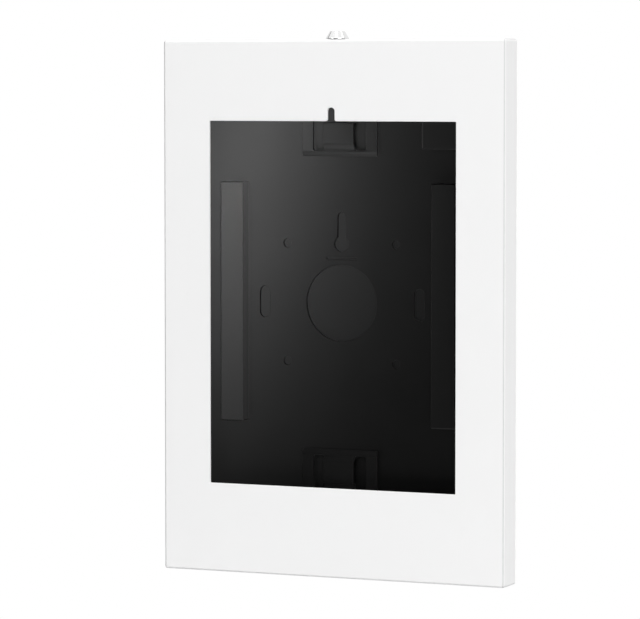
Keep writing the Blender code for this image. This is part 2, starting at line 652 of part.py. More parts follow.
def build_lock_barrel(chrome):
    """Tapered bezel on a shank with two flats, bored for the plug."""
    bore = PLUG / 2 + RUNNING
    shank = BARREL / 2
    base = BEZEL_BASE / 2
    profile = [
        (bore, BARREL_FOOT), (shank, BARREL_FOOT), (shank, BEZEL_SEAT), (base, BEZEL_SEAT),
        (base, BEZEL_SEAT + BEZEL_RIM), (BEZEL_TOP / 2, BEZEL_END), (bore, BEZEL_END),
    ]
    barrel = make_object("lock_barrel", turned_mesh(profile, LOCK_AXIS), chrome, smooth=True)
    across = (-LOCK_DEPTH - BARREL, -LOCK_DEPTH + BARREL)
    flats = [rectangle((side * BARREL_FLATS / 2, side * BARREL), across) for side in (-1, 1)]
    carve(barrel, "lock_barrel_flats", prism_mesh(flats, "Z", BARREL_FOOT - SEAT, BEZEL_SEAT - SEAT / 2))


def build_lock_fasteners(steel):
    """Toothed washer and hexagon nut under the cover's top wall."""
    top = LOCK_WASHER_FOOT + LOCK_WASHER_THICKNESS
    foot = LOCK_WASHER_FOOT
    pitch = 360.0 / LOCK_WASHER_TEETH
    outer = LOCK_WASHER_OUTER / 2
    ring = []
    for tooth in range(LOCK_WASHER_TEETH):
        start = tooth * pitch
        ring += arc(LOCK_AXIS, outer, start, start + TOOTH_LAND * pitch, 2)
        start += (TOOTH_LAND + TOOTH_FLANK) * pitch
        valley = (1.0 - TOOTH_LAND - 2 * TOOTH_FLANK) * pitch
        ring += arc(LOCK_AXIS, outer - LOCK_WASHER_TOOTH, start, start + valley, 1)
    washer = make_object("lock_washer", prism_mesh([ring], "Z", foot, top), steel)
    hole = circle(LOCK_AXIS, BARREL / 2 + RUNNING)
    carve(washer, "lock_washer_hole", prism_mesh([hole], "Z", foot - SEAT, top + SEAT))

    top = LOCK_NUT_FOOT + LOCK_NUT_HEIGHT
    foot = LOCK_NUT_FOOT
    hexagon = circle(LOCK_AXIS, LOCK_NUT_FLATS / 2 / math.cos(math.pi / 6), 6)
    nut = make_object("lock_nut", prism_mesh([hexagon], "Z", foot, top), steel)
    carve(nut, "lock_nut_hole", prism_mesh([hole], "Z", foot - SEAT, top + SEAT))


def build_lock_plug(chrome, turn):
    """Round plug with a ring-shaped keyway on top and a square tail for the cam."""
    foot = CAM_TOP + SEAT
    top = BEZEL_END - PLUG_RECESS
    radius = PLUG / 2
    profile = [(0.0, foot), (radius, foot), (radius, top), (0.0, top)]
    plug = make_object("lock_plug", turned_mesh(profile, LOCK_AXIS), chrome, turn, smooth=True)
    tail_foot = CAM_FOOT + SEAT
    tail = rounded_box(LOCK_AXIS, PLUG_TAIL, PLUG_TAIL, TAIL_CORNER)
    carve(plug, "lock_plug_tail", prism_mesh([tail], "Z", tail_foot, foot + SEAT), "UNION")
    inner = KEY_GROOVE_INNER / 2
    outer = KEY_GROOVE_OUTER / 2
    low = top - KEY_GROOVE_DEPTH
    above = top + SEAT
    ring = [(inner, low), (outer, low), (outer, above), (inner, above)]
    carve(plug, "lock_plug_groove", turned_mesh(ring, LOCK_AXIS))
    depths = (LOCK_DEPTH + (inner + outer) / 2, LOCK_DEPTH + PLUG)
    notch = block((-KEY_NOTCH / 2, KEY_NOTCH / 2), depths, (low + KEY_NOTCH, above))
    carve(plug, "lock_plug_notch", notch)
    screw_hole = circle(LOCK_AXIS, CAM_SCREW_SHANK / 2 + RUNNING, SMALL_ROUND)
    carve(plug, "lock_plug_screw_hole", prism_mesh([screw_hole], "Z", tail_foot - SEAT, CAM_SCREW_END + RUNNING))


def build_lock_cam(steel, turn):
    """Cam whose round tip lies in the back plate's slot while the lock is shut, and its screw."""
    half = CAM_WIDTH / 2
    edge = math.degrees(math.acos(half / CAM_REACH))
    outline = arc(LOCK_AXIS, CAM_REACH, edge, 180 - edge, HALF_ROUND) + arc(LOCK_AXIS, half, 180, 360, HALF_ROUND)
    cam = make_object("lock_cam", prism_mesh([outline], "Z", CAM_FOOT, CAM_TOP), steel, turn)
    drive = PLUG_TAIL + 2 * RUNNING
    hole = rounded_box(LOCK_AXIS, drive, drive, TAIL_CORNER)
    carve(cam, "lock_cam_hole", prism_mesh([hole], "Z", CAM_FOOT - SEAT, CAM_TOP + SEAT))

    top = CAM_FOOT - SEAT
    foot = top - CAM_SCREW_HEAD_HEIGHT
    shank = CAM_SCREW_SHANK / 2
    head = CAM_SCREW_HEAD / 2
    profile = [
        (0.0, foot), (head - CAM_SCREW_CHAMFER, foot), (head, foot + CAM_SCREW_CHAMFER), (head, top),
        (shank, top), (shank, CAM_SCREW_END), (0.0, CAM_SCREW_END),
    ]
    screw = make_object("cam_screw", turned_mesh(profile, LOCK_AXIS, steps=SMALL_ROUND), steel, turn, smooth=True)
    depths = (LOCK_DEPTH - CAM_SCREW_SLOT / 2, LOCK_DEPTH + CAM_SCREW_SLOT / 2)
    carve(screw, "cam_screw_slot", block((-head - SEAT, head + SEAT), depths, (foot - SEAT, foot + CAM_SCREW_SLOT)))


def build_lock(chrome, steel):
    """The cam lock; its plug, cam and screw turn about the lock's axis."""
    build_lock_barrel(chrome)
    build_lock_fasteners(steel)
    turn = make_empty("lock_turn", (*LOCK_AXIS, CAM_TOP))
    build_lock_plug(chrome, turn)
    build_lock_cam(steel, turn)


def main():
    """Build every piece of the mount."""
    clear_scene()
    white = make_material("white_powder_coat", (0.87, 0.87, 0.87), 0.45)
    black = make_material("black_powder_coat", (0.012, 0.012, 0.013), 0.42)
    foam = make_material("black_foam", (0.02, 0.02, 0.021), 0.85)
    chrome = make_material("polished_chrome", (0.80, 0.80, 0.81), 0.12, 1.0)
    zinc = make_material("zinc_plated_steel", (0.62, 0.63, 0.65), 0.32, 1.0)
    dark = make_material("black_zinc_steel", (0.03, 0.03, 0.032), 0.40, 1.0)
    build_cover(white)
    build_back_plate(black)
    build_rear_pad(foam)
    build_foam(foam)
    build_liners(foam)
    for label, level in (("top", 1), ("bottom", -1)):
        build_clamp(label + "_clamp", level, black, foam)
        build_clamp_fasteners(label, level, dark)
    build_lock(chrome, zinc)


main()
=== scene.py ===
"""Looks of a lockable wall mount for a flat tablet: white folded cover, black plate, foam, clamps, cam lock.

Metres, +X right, +Z up, the front faces -Y. A depth is the distance from the wall: a depth d lies at y = -d.
Sizes come from the frame's boxes where they can, and each new piece stands where its CAD node stands.
"""

import math

import bmesh
import bpy
import numpy as np
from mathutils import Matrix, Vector
from mathutils.geometry import delaunay_2d_cdt


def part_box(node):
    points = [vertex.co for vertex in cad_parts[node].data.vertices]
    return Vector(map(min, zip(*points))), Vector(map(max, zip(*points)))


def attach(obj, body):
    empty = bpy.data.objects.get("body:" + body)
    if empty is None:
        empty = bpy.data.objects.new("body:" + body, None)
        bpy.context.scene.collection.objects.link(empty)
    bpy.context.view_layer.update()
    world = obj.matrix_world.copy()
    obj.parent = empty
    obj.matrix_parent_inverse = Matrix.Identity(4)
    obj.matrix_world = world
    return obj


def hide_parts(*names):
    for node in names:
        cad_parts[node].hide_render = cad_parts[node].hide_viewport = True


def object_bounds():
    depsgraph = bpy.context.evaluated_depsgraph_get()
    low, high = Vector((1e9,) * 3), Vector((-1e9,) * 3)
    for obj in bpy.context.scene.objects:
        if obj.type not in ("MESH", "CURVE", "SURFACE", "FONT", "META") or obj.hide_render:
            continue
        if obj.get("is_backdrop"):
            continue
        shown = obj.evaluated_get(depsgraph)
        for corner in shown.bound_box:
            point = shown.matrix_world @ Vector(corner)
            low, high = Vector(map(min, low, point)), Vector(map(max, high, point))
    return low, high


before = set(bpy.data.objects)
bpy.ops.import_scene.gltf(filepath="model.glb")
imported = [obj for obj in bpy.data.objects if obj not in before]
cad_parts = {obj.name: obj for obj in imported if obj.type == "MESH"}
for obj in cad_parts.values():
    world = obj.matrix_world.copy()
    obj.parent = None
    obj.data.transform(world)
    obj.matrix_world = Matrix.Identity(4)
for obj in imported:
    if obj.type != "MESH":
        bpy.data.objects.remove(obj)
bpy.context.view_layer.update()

# Sheet metal
COVER_SHEET = 0.0012
COVER_BEND = 0.0014
COVER_CORNER = 0.0016        # outline radius at the cover's four corners
PLATE_SHEET = 0.0015
PLATE_BEND = 0.0022
CLAMP_SHEET = 0.0015
CLAMP_BEND = 0.0021
SHEET_RIM = 0.00028          # rounding that the paint leaves on cut edges
SEAT = 0.0003

# Window and camera slot
WINDOW_WIDTH = 0.1686
WINDOW_HEIGHT = 0.2311
WINDOW_DROP = 0.0005
WINDOW_CORNER = 0.0006
SLOT_WIDTH = 0.0047
SLOT_HEIGHT = 0.0086
SLOT_FILLET = 0.0012
SLOT_SPREAD = 0.012           # half the stretch of the top rim that answers to the slot

# Hooks of the cover
HOOK_SPACING = 0.2200
HOOK_HEIGHT = 0.0080
HOOK_REACH = 0.0050
HOOK_LIFT = 0.0090
HOOK_ROOT = 0.0030            # the part of a hook's strip that lies in the wall
HOOK_CORNER = 0.0008
HOOK_BEND = 0.75 * COVER_SHEET
HOOK_THINNER = 2e-5           # keeps the hook's faces off the wall's
PLAY = 0.0003

# Holes of the back plate
PLATE_CORNER = 0.0006
PATTERN = 0.0750
PATTERN_HOLE = 0.0053
CABLE_HOLE = 0.0483
KEYHOLE_HEAD = 0.0098
KEYHOLE_NECK = 0.0052
KEYHOLE_LENGTH = 0.0197
SIDE_SLOT_WIDTH = 0.0070
SIDE_SLOT_LENGTH = 0.0200
SIDE_SLOT_GAP = 0.0078
TIE_SLOT_WIDTH = 0.0205
TIE_SLOT_HEIGHT = 0.0014
CAM_SLOT_PLAY = 0.0005
CAM_SLOT_MORE = 0.0050        # what the slot is wider than the cam at rest, for its swing
LOCK_ROOM = 0.0089           # half the width cut out of the flange beside the lock

# Clamps
CLAMP_RISE = 0.0030           # from the clamp's foot to its front face
CLAMP_END_CORNER = 0.0008
CLAMP_CORNER = 0.0026
CLAMP_SLOT_INNER = 0.0105
CLAMP_SLOT_WIDTH = 0.0075
CLAMP_SLOT_START = 0.0037
CLAMP_SLOT_END = 0.0088
CLAMP_SLOT_CORNER = 0.0012
BRIDGE_HEIGHT = 0.0022
BRIDGE_NEAR_SLOPE = 0.0045
BRIDGE_FAR_SLOPE = 0.0006
BRIDGE_END_GAP = 0.0031       # room for the washers when the clamp slides outwards
JAW_WINDOW = 0.0080
JAW_WINDOW_LEDGE = 0.0007
JAW_CORNER = 0.0025
JAW_BEND = 0.8 * CLAMP_SHEET
JAW_TAIL = 0.0015             # the part of the jaw's strip that lies in the clamp
JAW_THINNER = 4e-5

# Fasteners
NUT_COLLAR_RIM = 0.0002
NUT_SHANK = 0.0027
WASHER_RIM = 0.0002
SCREW_SHANK = 0.0037
SCREW_SOCKET = 0.0025
SCREW_SOCKET_DEPTH = 0.0013
THREAD_PITCH = 0.0010
THREAD_DEPTH = 0.0004
THREAD_FADE = 0.0006          # run over which the thread begins and ends

# Lock
BEZEL_TOP = 0.0094
BEZEL_RIM = 0.0005
BARREL = 0.0098
BARREL_FLATS = 0.0085
PLUG = 0.0066
PLUG_RIM = 0.0007
KEY_GROOVE_WIDTH = 0.0011
KEY_GROOVE_DEPTH = 0.0045
KEY_NOTCH = 0.0011
PLUG_TAIL = 0.0044
NUT_CHAMFER_SLOPE = 1.73     # run of the nut's chamfer for each unit of height
WASHER_TEETH = 12
WASHER_TOOTH = 0.0006
WASHER_TWIST = 0.00012
CAM_SCREW_SHANK = 0.0011

# Painted shade in the plate's hollows: the two reaches of its mask, and the open shares of view between which
# it turns over
HOLLOW_REACH = 0.008
HOLLOW_NEAR = 0.0026
HOLLOW_COVERED = (0.50, 0.60)
HOLLOW_CLEAR = (0.70, 0.90)

# Sampling
RIM_STEPS = 3
CORNER_STEPS = 6
BEND_LEVELS = 6
HOLE_STEPS = 40
TURN_STEPS = 96
MERGE = 1e-6


def grid_faces(rows, columns, wrap_rows, wrap_columns):
    """Quads between the neighbouring points of a grid that is stored row by row."""
    row = np.arange(rows if wrap_rows else rows - 1)
    column = np.arange(columns if wrap_columns else columns - 1)
    r, c = np.meshgrid(row, column, indexing="ij")
    r2 = (r + 1) % rows
    c2 = (c + 1) % columns
    corners = (r * columns + c, r * columns + c2, r2 * columns + c2, r2 * columns + c)
    return np.stack(corners, -1).reshape(-1, 4)


def arc(centre, radius, start, end, steps):
    """Points at a radius from a centre, the angle running evenly from start to end, in degrees."""
    angle = np.radians(np.linspace(start, end, steps + 1))
    return np.stack([centre[0] + radius * np.cos(angle), centre[1] + radius * np.sin(angle)], -1)


def circle(centre, radius, steps=64):
    """A full circle as a closed loop."""
    return arc(centre, radius, 0, 360, steps)[:-1]


def soften(points, radius, steps=4):
    """A closed outline with an arc at each corner.

    The arc touches both sides at radius / tan(half the corner's angle) from the corner, or nearer where a
    side is short. It is a rational quadratic curve whose middle weight is the sine of that half angle, which
    makes it a circle.
    """
    p = np.asarray(points, float)
    radius = np.broadcast_to(np.asarray(radius, float), len(p))
    before = np.roll(p, 1, 0) - p
    after = np.roll(p, -1, 0) - p
    side_a = np.linalg.norm(before, axis=1)
    side_b = np.linalg.norm(after, axis=1)
    a = before / side_a[:, None]
    b = after / side_b[:, None]
    half = 0.5 * np.arccos(np.clip((a * b).sum(1), -1.0, 1.0))
    reach = np.minimum(radius / np.tan(half), 0.49 * np.minimum(side_a, side_b))[:, None]
    t = np.linspace(0.0, 1.0, steps + 1)[None, :, None]
    low = (1 - t) ** 2
    middle = 2 * np.sin(half)[:, None, None] * t * (1 - t)
    high = t ** 2
    curve = low * (p + a * reach)[:, None] + middle * p[:, None] + high * (p + b * reach)[:, None]
    curve = (curve / (low + middle + high)).reshape(-1, p.shape[1])
    step = np.linalg.norm(curve - np.roll(curve, 1, 0), axis=1)
    return curve[step > 1e-7]


def box_outline(centre, width, height, radius):
    """Rectangle with round corners, anticlockwise."""
    x = np.array([1, 1, -1, -1]) * width / 2 + centre[0]
    z = np.array([-1, 1, 1, -1]) * height / 2 + centre[1]
    return soften(np.stack([x, z], -1), radius)


def turn_left(loop, left):
    """The loop, reversed if needed: anticlockwise when left is true and clockwise otherwise."""
    x, z = loop[:, 0], loop[:, 1]
    area = (x * np.roll(z, -1) - np.roll(x, -1) * z).sum()
    return loop if (area > 0) == left else loop[::-1]


def left_of(loop):
    """For each point of a closed loop, the step to its left that lies at a distance of 1 from both sides."""
    along = np.roll(loop, -1, 0) - loop
    along /= np.linalg.norm(along, axis=1)[:, None]
    normal = np.stack([-along[:, 1], along[:, 0]], -1)
    before = np.roll(normal, 1, 0)
    return (normal + before) / (1 + (normal * before).sum(1))[:, None]


def cross_at(loop, places):
    """The loop with extra points where its second coordinate passes each of the places."""
    for place in places:
        nxt = np.roll(loop, -1, 0)
        low = loop[:, 1] - place
        high = nxt[:, 1] - place
        cut = np.nonzero((low * high < 0) & (np.abs(low) > MERGE) & (np.abs(high) > MERGE))[0]
        share = (low[cut] / (low[cut] - high[cut]))[:, None]
        loop = np.insert(loop, cut + 1, loop[cut] + share * (nxt[cut] - loop[cut]), axis=0)
    return loop


def inside(points, loop):
    """True for each point whose level line crosses the loop an odd number of times to its right."""
    a = loop
    b = np.roll(loop, -1, 0)
    x = points[:, 0][:, None]
    z = points[:, 1][:, None]
    spans = (a[:, 1] > z) != (b[:, 1] > z)
    rise = np.where(b[:, 1] == a[:, 1], 1e-12, b[:, 1] - a[:, 1])
    cut = a[:, 0] + (z - a[:, 1]) * (b[:, 0] - a[:, 0]) / rise
    return (spans & (x < cut)).sum(1) % 2 == 1


def fill(loops, places):
    """Triangles inside the first loop and outside the others, with edges along the given levels."""
    scale = 1000.0
    points = np.concatenate(loops) * scale
    starts = np.cumsum([0] + [len(loop) for loop in loops])
    edges = []
    for first, loop in zip(starts, loops):
        index = np.arange(len(loop))
        edges += np.stack([first + index, first + (index + 1) % len(loop)], -1).tolist()
    for place in places:
        on = np.nonzero(np.abs(points[:, 1] - place * scale) < 1e-4)[0]
        on = on[np.argsort(points[on, 0])]
        edges += np.stack([on[:-1], on[1:]], -1).tolist()
    made = delaunay_2d_cdt([Vector(p) for p in points.tolist()], edges, [], 0, 1e-6)
    corners = np.array([tuple(p) for p in made[0]]) / scale
    triangles = np.array([face for face in made[2] if len(face) == 3])
    middle = corners[triangles].mean(1)
    keep = inside(middle, loops[0])
    for loop in loops[1:]:
        keep &= ~inside(middle, loop)
    return corners, triangles[keep]


def sheet_part(outline, holes, thickness, place, rim=SHEET_RIM, places=(), waist=0.0):
    """Points and faces of a sheet with holes and rounded rims.

    The loops lie on the unfolded sheet as (a, b). Each rim is a profile carried along its loop: a quarter
    circle from the front face, the edge, drawn in by the waist at its middle, and one more to the rear face.
    place(a, b, t) folds a point that lies t in front of the sheet's middle layer.
    """
    loops = [turn_left(np.asarray(outline), True)] + [turn_left(np.asarray(hole), False) for hole in holes]
    loops = [cross_at(loop, places) for loop in loops]
    half = thickness / 2
    angle = np.linspace(0.0, math.pi / 2, RIM_STEPS + 1)
    inset = rim * (1 - np.sin(angle))
    height = half - rim * (1 - np.cos(angle))
    if waist:
        level = np.linspace(1.0, 0.0, 5)[1:-1] * (half - rim)
        inset = np.concatenate([inset, waist * (1 - (level / (half - rim)) ** 2)])
        height = np.concatenate([height, level])
    inset = np.concatenate([inset, inset[::-1]])
    height = np.concatenate([height, -height[::-1]])
    parts = []
    rims = []
    for loop in loops:
        left = left_of(loop)
        flat = loop[None] + left[None] * inset[:, None, None]
        a, b = flat[..., 0], flat[..., 1]
        t = np.broadcast_to(height[:, None], a.shape)
        parts.append((place(a, b, t), grid_faces(len(inset), len(loop), False, True)))
        rims.append(loop + left * rim)
    corners, triangles = fill(rims, places)
    a, b = corners[:, 0], corners[:, 1]
    parts.append((place(a, b, np.full(len(a), half)), triangles))
    parts.append((place(a, b, np.full(len(a), -half)), triangles[:, ::-1]))
    return parts


def turned(profile, centre, axis="Z", steps=TURN_STEPS, shape=None):
    """Points and faces of a closed profile of (radius, place along the axis) carried round an axis.

    The point (i, j) lies at the profile's point i, turned by the angle j. shape(radius, along, angle) may
    return a changed radius and place, for flats, corners, teeth and threads.
    """
    profile = np.asarray(profile, float)
    angle = np.linspace(0.0, 2 * math.pi, steps, endpoint=False)[None, :]
    radius = np.repeat(profile[:, :1], steps, 1)
    along = np.repeat(profile[:, 1:], steps, 1)
    if shape is not None:
        radius, along = shape(radius, along, angle)
    first = centre[0] + radius * np.cos(angle)
    second = centre[1] + radius * np.sin(angle)
    order = (first, second, along) if axis == "Z" else (first, -along, second)
    return np.stack(order, -1), grid_faces(len(profile), steps, True, True)


def hexagon(angle):
    """Radius of a hexagon with its flats at a distance of 1: 1 / cos(angle from the nearest flat)."""
    return 1.0 / np.cos((angle + math.pi / 6) % (math.pi / 3) - math.pi / 6)


def make_mesh(name, parts):
    """One mesh from several grids or triangle sets: doubles merged, faces turned outwards, shaded smooth."""
    points = []
    faces = []
    start = 0
    for part_points, part_faces in parts:
        flat = np.asarray(part_points).reshape(-1, 3)
        points.append(flat)
        faces += (np.asarray(part_faces) + start).tolist()
        start += len(flat)
    mesh = bpy.data.meshes.new(name)
    mesh.from_pydata(np.concatenate(points).tolist(), [], faces)
    shape = bmesh.new()
    shape.from_mesh(mesh)
    bmesh.ops.remove_doubles(shape, verts=shape.verts, dist=MERGE)
    bmesh.ops.recalc_face_normals(shape, faces=shape.faces)
    shape.to_mesh(mesh)
    shape.free()
    mesh.shade_smooth()
    return mesh


def carve(piece, parts, operation):
    """Cuts closed parts out of a piece, or joins them on, and keeps the result as its mesh."""
    tool = bpy.data.objects.new(piece.name + "_tool", make_mesh(piece.name + "_tool", parts))
    bpy.context.scene.collection.objects.link(tool)
    modifier = piece.modifiers.new("carve", "BOOLEAN")
    modifier.operation = operation
    modifier.solver = "EXACT"
    modifier.object = tool
    bpy.context.view_layer.update()
    graph = bpy.context.evaluated_depsgraph_get()
    mesh = bpy.data.meshes.new_from_object(piece.evaluated_get(graph))
    piece.modifiers.remove(modifier)
    old = piece.data
    piece.data = mesh
    bpy.data.meshes.remove(old)
    bpy.data.objects.remove(tool, do_unlink=True)
    mesh.shade_smooth()


def make_piece(name, parts, slot, body, nodes, material=None, cuts=(), joins=()):
    """A named piece that takes the place of CAD nodes and moves with their body.

    Its material is its slot's own unless another is named. Closed parts are cut out of it, and then others
    are joined on. At the end the large flat faces set the normals where they meet the small rounded ones.
    """
    piece = bpy.data.objects.new(name, make_mesh(name, parts))
    bpy.context.scene.collection.objects.link(piece)
    piece.data.materials.append(MATERIALS[material or slot])
    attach(piece, body)
    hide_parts(*nodes)
    for part in cuts:
        carve(piece, part, "DIFFERENCE")
    for part in joins:
        carve(piece, part, "UNION")
    lead = piece.modifiers.new("flat_faces_lead", "WEIGHTED_NORMAL")
    lead.mode = "FACE_AREA"
    lead.weight = 100
    lead.keep_sharp = True
    return piece


def size_of(node):
    """The lowest and highest corner of a CAD node as arrays."""
    low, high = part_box(node)
    return np.array(low), np.array(high)


def centre_of(node, axes):
    """The middle of a node's box along two axes."""
    low, high = size_of(node)
    return ((low + high) / 2)[list(axes)]


def feed(tree, values, sockets):
    """Gives named inputs their values: each is an output to link, or a plain number or colour."""
    for label, value in values.items():
        if isinstance(value, bpy.types.NodeSocket):
            tree.links.new(value, sockets[label])
        else:
            sockets[label].default_value = value


def add_node(tree, kind, inputs, **settings):
    """The outputs of a new shader node with the given settings and inputs."""
    node = tree.nodes.new(kind)
    for label, value in settings.items():
        setattr(node, label, value)
    feed(tree, inputs, node.inputs)
    return node.outputs


def spaced(values):
    """The same values under names with spaces in place of underscores."""
    return {label.replace("_", " "): value for label, value in values.items()}


def group_node(tree, name, **values):
    """The outputs of a shader group that is placed in a material with its own values."""
    node = tree.nodes.new("ShaderNodeGroup")
    node.node_tree = GROUPS[name]
    feed(tree, spaced(values), node.inputs)
    return node.outputs


def new_group(name, **inputs):
    """A shader group with named inputs and their usual values, and the sockets that bring these inside."""
    group = bpy.data.node_groups.new(name, "ShaderNodeTree")
    for label, value in spaced(inputs).items():
        kind = "NodeSocketColor" if isinstance(value, tuple) else "NodeSocketFloat"
        group.interface.new_socket(label, in_out="INPUT", socket_type=kind).default_value = value
    return group, group.nodes.new("NodeGroupInput").outputs


def end_group(group, **results):
    """Closes a shader group: each result becomes a named output."""
    for label, value in results.items():
        kind = "NodeSocketColor" if value.type == "RGBA" else "NodeSocketFloat"
        group.interface.new_socket(label, in_out="OUTPUT", socket_type=kind)
    feed(group, results, group.nodes.new("NodeGroupOutput").inputs)
    return group


def math_node(tree, operation, *values):
    """A Math node's result; each value is a number or a socket."""
    return add_node(tree, "ShaderNodeMath", dict(enumerate(values)), operation=operation)[0]


def ramp(tree, value, start, end, low, high):
    """A value that goes from low to high while another goes from start to end."""
    inputs = {"Value": value, "From Min": start, "From Max": end, "To Min": low, "To Max": high}
    return add_node(tree, "ShaderNodeMapRange", inputs)["Result"]


def part_of(tree, vector, axis):
    """One component of a vector."""
    return add_node(tree, "ShaderNodeSeparateXYZ", {"Vector": vector})[axis]


def coordinate(tree, kind):
    """A texture coordinate of the surface, or of the world's direction."""
    return add_node(tree, "ShaderNodeTexCoord", {})[kind]


def noise_at(tree, size, detail=2.0, distort=0.0):
    """Noise on Object coordinates with blotches of about the given size, a number or a socket, in metres."""
    scale = 1.0 / size if isinstance(size, float) else math_node(tree, "DIVIDE", 1.0, size)
    inputs = {"Vector": coordinate(tree, "Object"), "Scale": scale, "Detail": detail, "Distortion": distort}
    return add_node(tree, "ShaderNodeTexNoise", inputs)["Fac"]


def coat_group():
    """Painted or moulded skin: flow marks with a fine grain on them, and a slow mottle for tone and gloss."""
    group, given = new_group("coat_relief", Flow_Size=0.0016, Grain_Size=0.0003, Grain_Share=0.3)
    flow = noise_at(group, given["Flow Size"])
    grain = noise_at(group, given["Grain Size"], 1.0)
    fine = math_node(group, "MULTIPLY", grain, given["Grain Share"])
    height = math_node(group, "ADD", flow, fine)
    return end_group(group, Height=height, Mottle=noise_at(group, 0.045, 4.0, 0.6))


def swing_group():
    """Turns a mask of about 0.5 into a value that swings by an amount round a middle."""
    group, given = new_group("swing", Mask=0.5, Middle=0.5, Swing=0.1)
    swung = math_node(group, "MULTIPLY", math_node(group, "SUBTRACT", given["Mask"], 0.5), given["Swing"])
    return end_group(group, Value=math_node(group, "ADD", swung, given["Middle"]))


def tone_group():
    """Mixes a light and a dark tone of one colour by a mask."""
    group, given = new_group("two_tones", Mask=0.5, Light=(1, 1, 1, 1), Dark=(0, 0, 0, 1))
    # Inputs 6 and 7 of a Mix node are its two colours, and output 2 is their mix
    inputs = {0: given["Mask"], 6: given["Dark"], 7: given["Light"]}
    return end_group(group, Color=add_node(group, "ShaderNodeMix", inputs, data_type="RGBA")[2])


def cell_group():
    """Closed-cell foam: round pits from cell distances, with a soft unevenness below them."""
    group, given = new_group("foam_cells", Cell_Size=0.0005, Softness=0.5)
    scale = math_node(group, "DIVIDE", 1.0, given["Cell Size"])
    inputs = {"Vector": coordinate(group, "Object"), "Scale": scale}
    pits = add_node(group, "ShaderNodeTexVoronoi", inputs)["Distance"]
    soft = math_node(group, "MULTIPLY", noise_at(group, 0.004), given["Softness"])
    return end_group(group, Height=math_node(group, "ADD", pits, soft), Pits=pits)


def shade_on_folds_group():
    """Mask of painted shade on the upright folds: where the surface turns away from the front by about 20 to
    35 degrees.
    """
    group = new_group("painted_fold_shade_mask")[0]
    turn = math_node(group, "ABSOLUTE", part_of(group, coordinate(group, "Normal"), "X"))
    rise = ramp(group, turn, 0.10, 0.26, 0.0, 1.0)
    fall = ramp(group, turn, 0.62, 0.80, 1.0, 0.0)
    return end_group(group, Mask=math_node(group, "MULTIPLY", rise, fall))


def shade_in_hollows_group():
    """Mask of painted shade in hollows, standing in for shadows that the bare softbox does not cast: 1 where
    pieces farther than a short reach close off about half of the view.
    """
    group = new_group("painted_hollow_shade_mask")[0]
    far, near = (add_node(group, "ShaderNodeAmbientOcclusion", {"Distance": reach}, samples=12)["AO"]
                 for reach in (HOLLOW_REACH, HOLLOW_NEAR))
    covered = ramp(group, far, *HOLLOW_COVERED, 1.0, 0.0)
    clear = ramp(group, near, *HOLLOW_CLEAR, 0.0, 1.0)
    return end_group(group, Mask=math_node(group, "MULTIPLY", covered, clear))


GROUPS = {"coat": coat_group(), "swing": swing_group(), "tone": tone_group(), "cells": cell_group(),
          "fold": shade_on_folds_group(), "hollow": shade_in_hollows_group()}


def grey(value):
    """A neutral colour."""
    return (value, value, value, 1.0)


def start_material(name, **values):
    """A material with a Principled shader whose plain values are set on its own sockets."""
    material = bpy.data.materials.new(name)
    material.use_nodes = True
    sockets = material.node_tree.nodes["Principled BSDF"].inputs
    feed(material.node_tree, spaced(values), sockets)
    return material, material.node_tree, sockets


def dressed(name, relief, sizes, tones, rough, swing, bump, depth, **values):
    """A material with a relief group: its height makes the bump, its mask the tones and the roughness."""
    material, tree, sockets = start_material(name, **values)
    height, mask = group_node(tree, relief, **sizes)
    tone = group_node(tree, "tone", Mask=mask, Light=grey(tones[0]), Dark=grey(tones[1]))
    gloss = group_node(tree, "swing", Mask=mask, Middle=rough, Swing=swing)
    inputs = {"Strength": bump, "Distance": depth, "Height": height}
    normal = add_node(tree, "ShaderNodeBump", inputs)["Normal"]
    feed(tree, {"Base Color": tone["Color"], "Roughness": gloss["Value"], "Normal": normal}, sockets)
    return material


def powder_coat(name, tones, rough, bump, gloss=0.5, mask=None, shade=0.0, matt=False):
    """Powder coat: faint orange peel with a fine grain. A mask group may paint shade into its base colour and
    make it matt.
    """
    sizes = {"Flow_Size": 0.0018, "Grain_Size": 0.00035, "Grain_Share": 0.35}
    material = dressed(name, "coat", sizes, tones, rough, 0.06, bump, 0.0001, Specular_IOR_Level=gloss)
    if mask:
        tree = material.node_tree
        sockets = tree.nodes["Principled BSDF"].inputs
        share = group_node(tree, mask)["Mask"]
        coat = sockets["Base Color"].links[0].from_socket
        tone = group_node(tree, "tone", Mask=share, Light=grey(shade), Dark=coat)
        tree.links.new(tone["Color"], sockets["Base Color"])
        if matt:
            dull = math_node(tree, "MAXIMUM", share, sockets["Roughness"].links[0].from_socket)
            tree.links.new(dull, sockets["Roughness"])
    return material


def foam(name, tones, rough, bump, cell, gloss=0.5):
    """Closed-cell foam with its cut cells."""
    sizes = {"Cell_Size": cell, "Softness": 0.6}
    return dressed(name, "cells", sizes, tones, rough, 0.10, bump, 0.0002, Specular_IOR_Level=gloss)


def plated(name, tones, rough, swing, bump):
    """Plated metal with faint polishing or tumbling marks."""
    sizes = {"Flow_Size": 0.0030, "Grain_Size": 0.00025, "Grain_Share": 0.5}
    return dressed(name, "coat", sizes, tones, rough, swing, bump, 0.00005, Metallic=1.0)
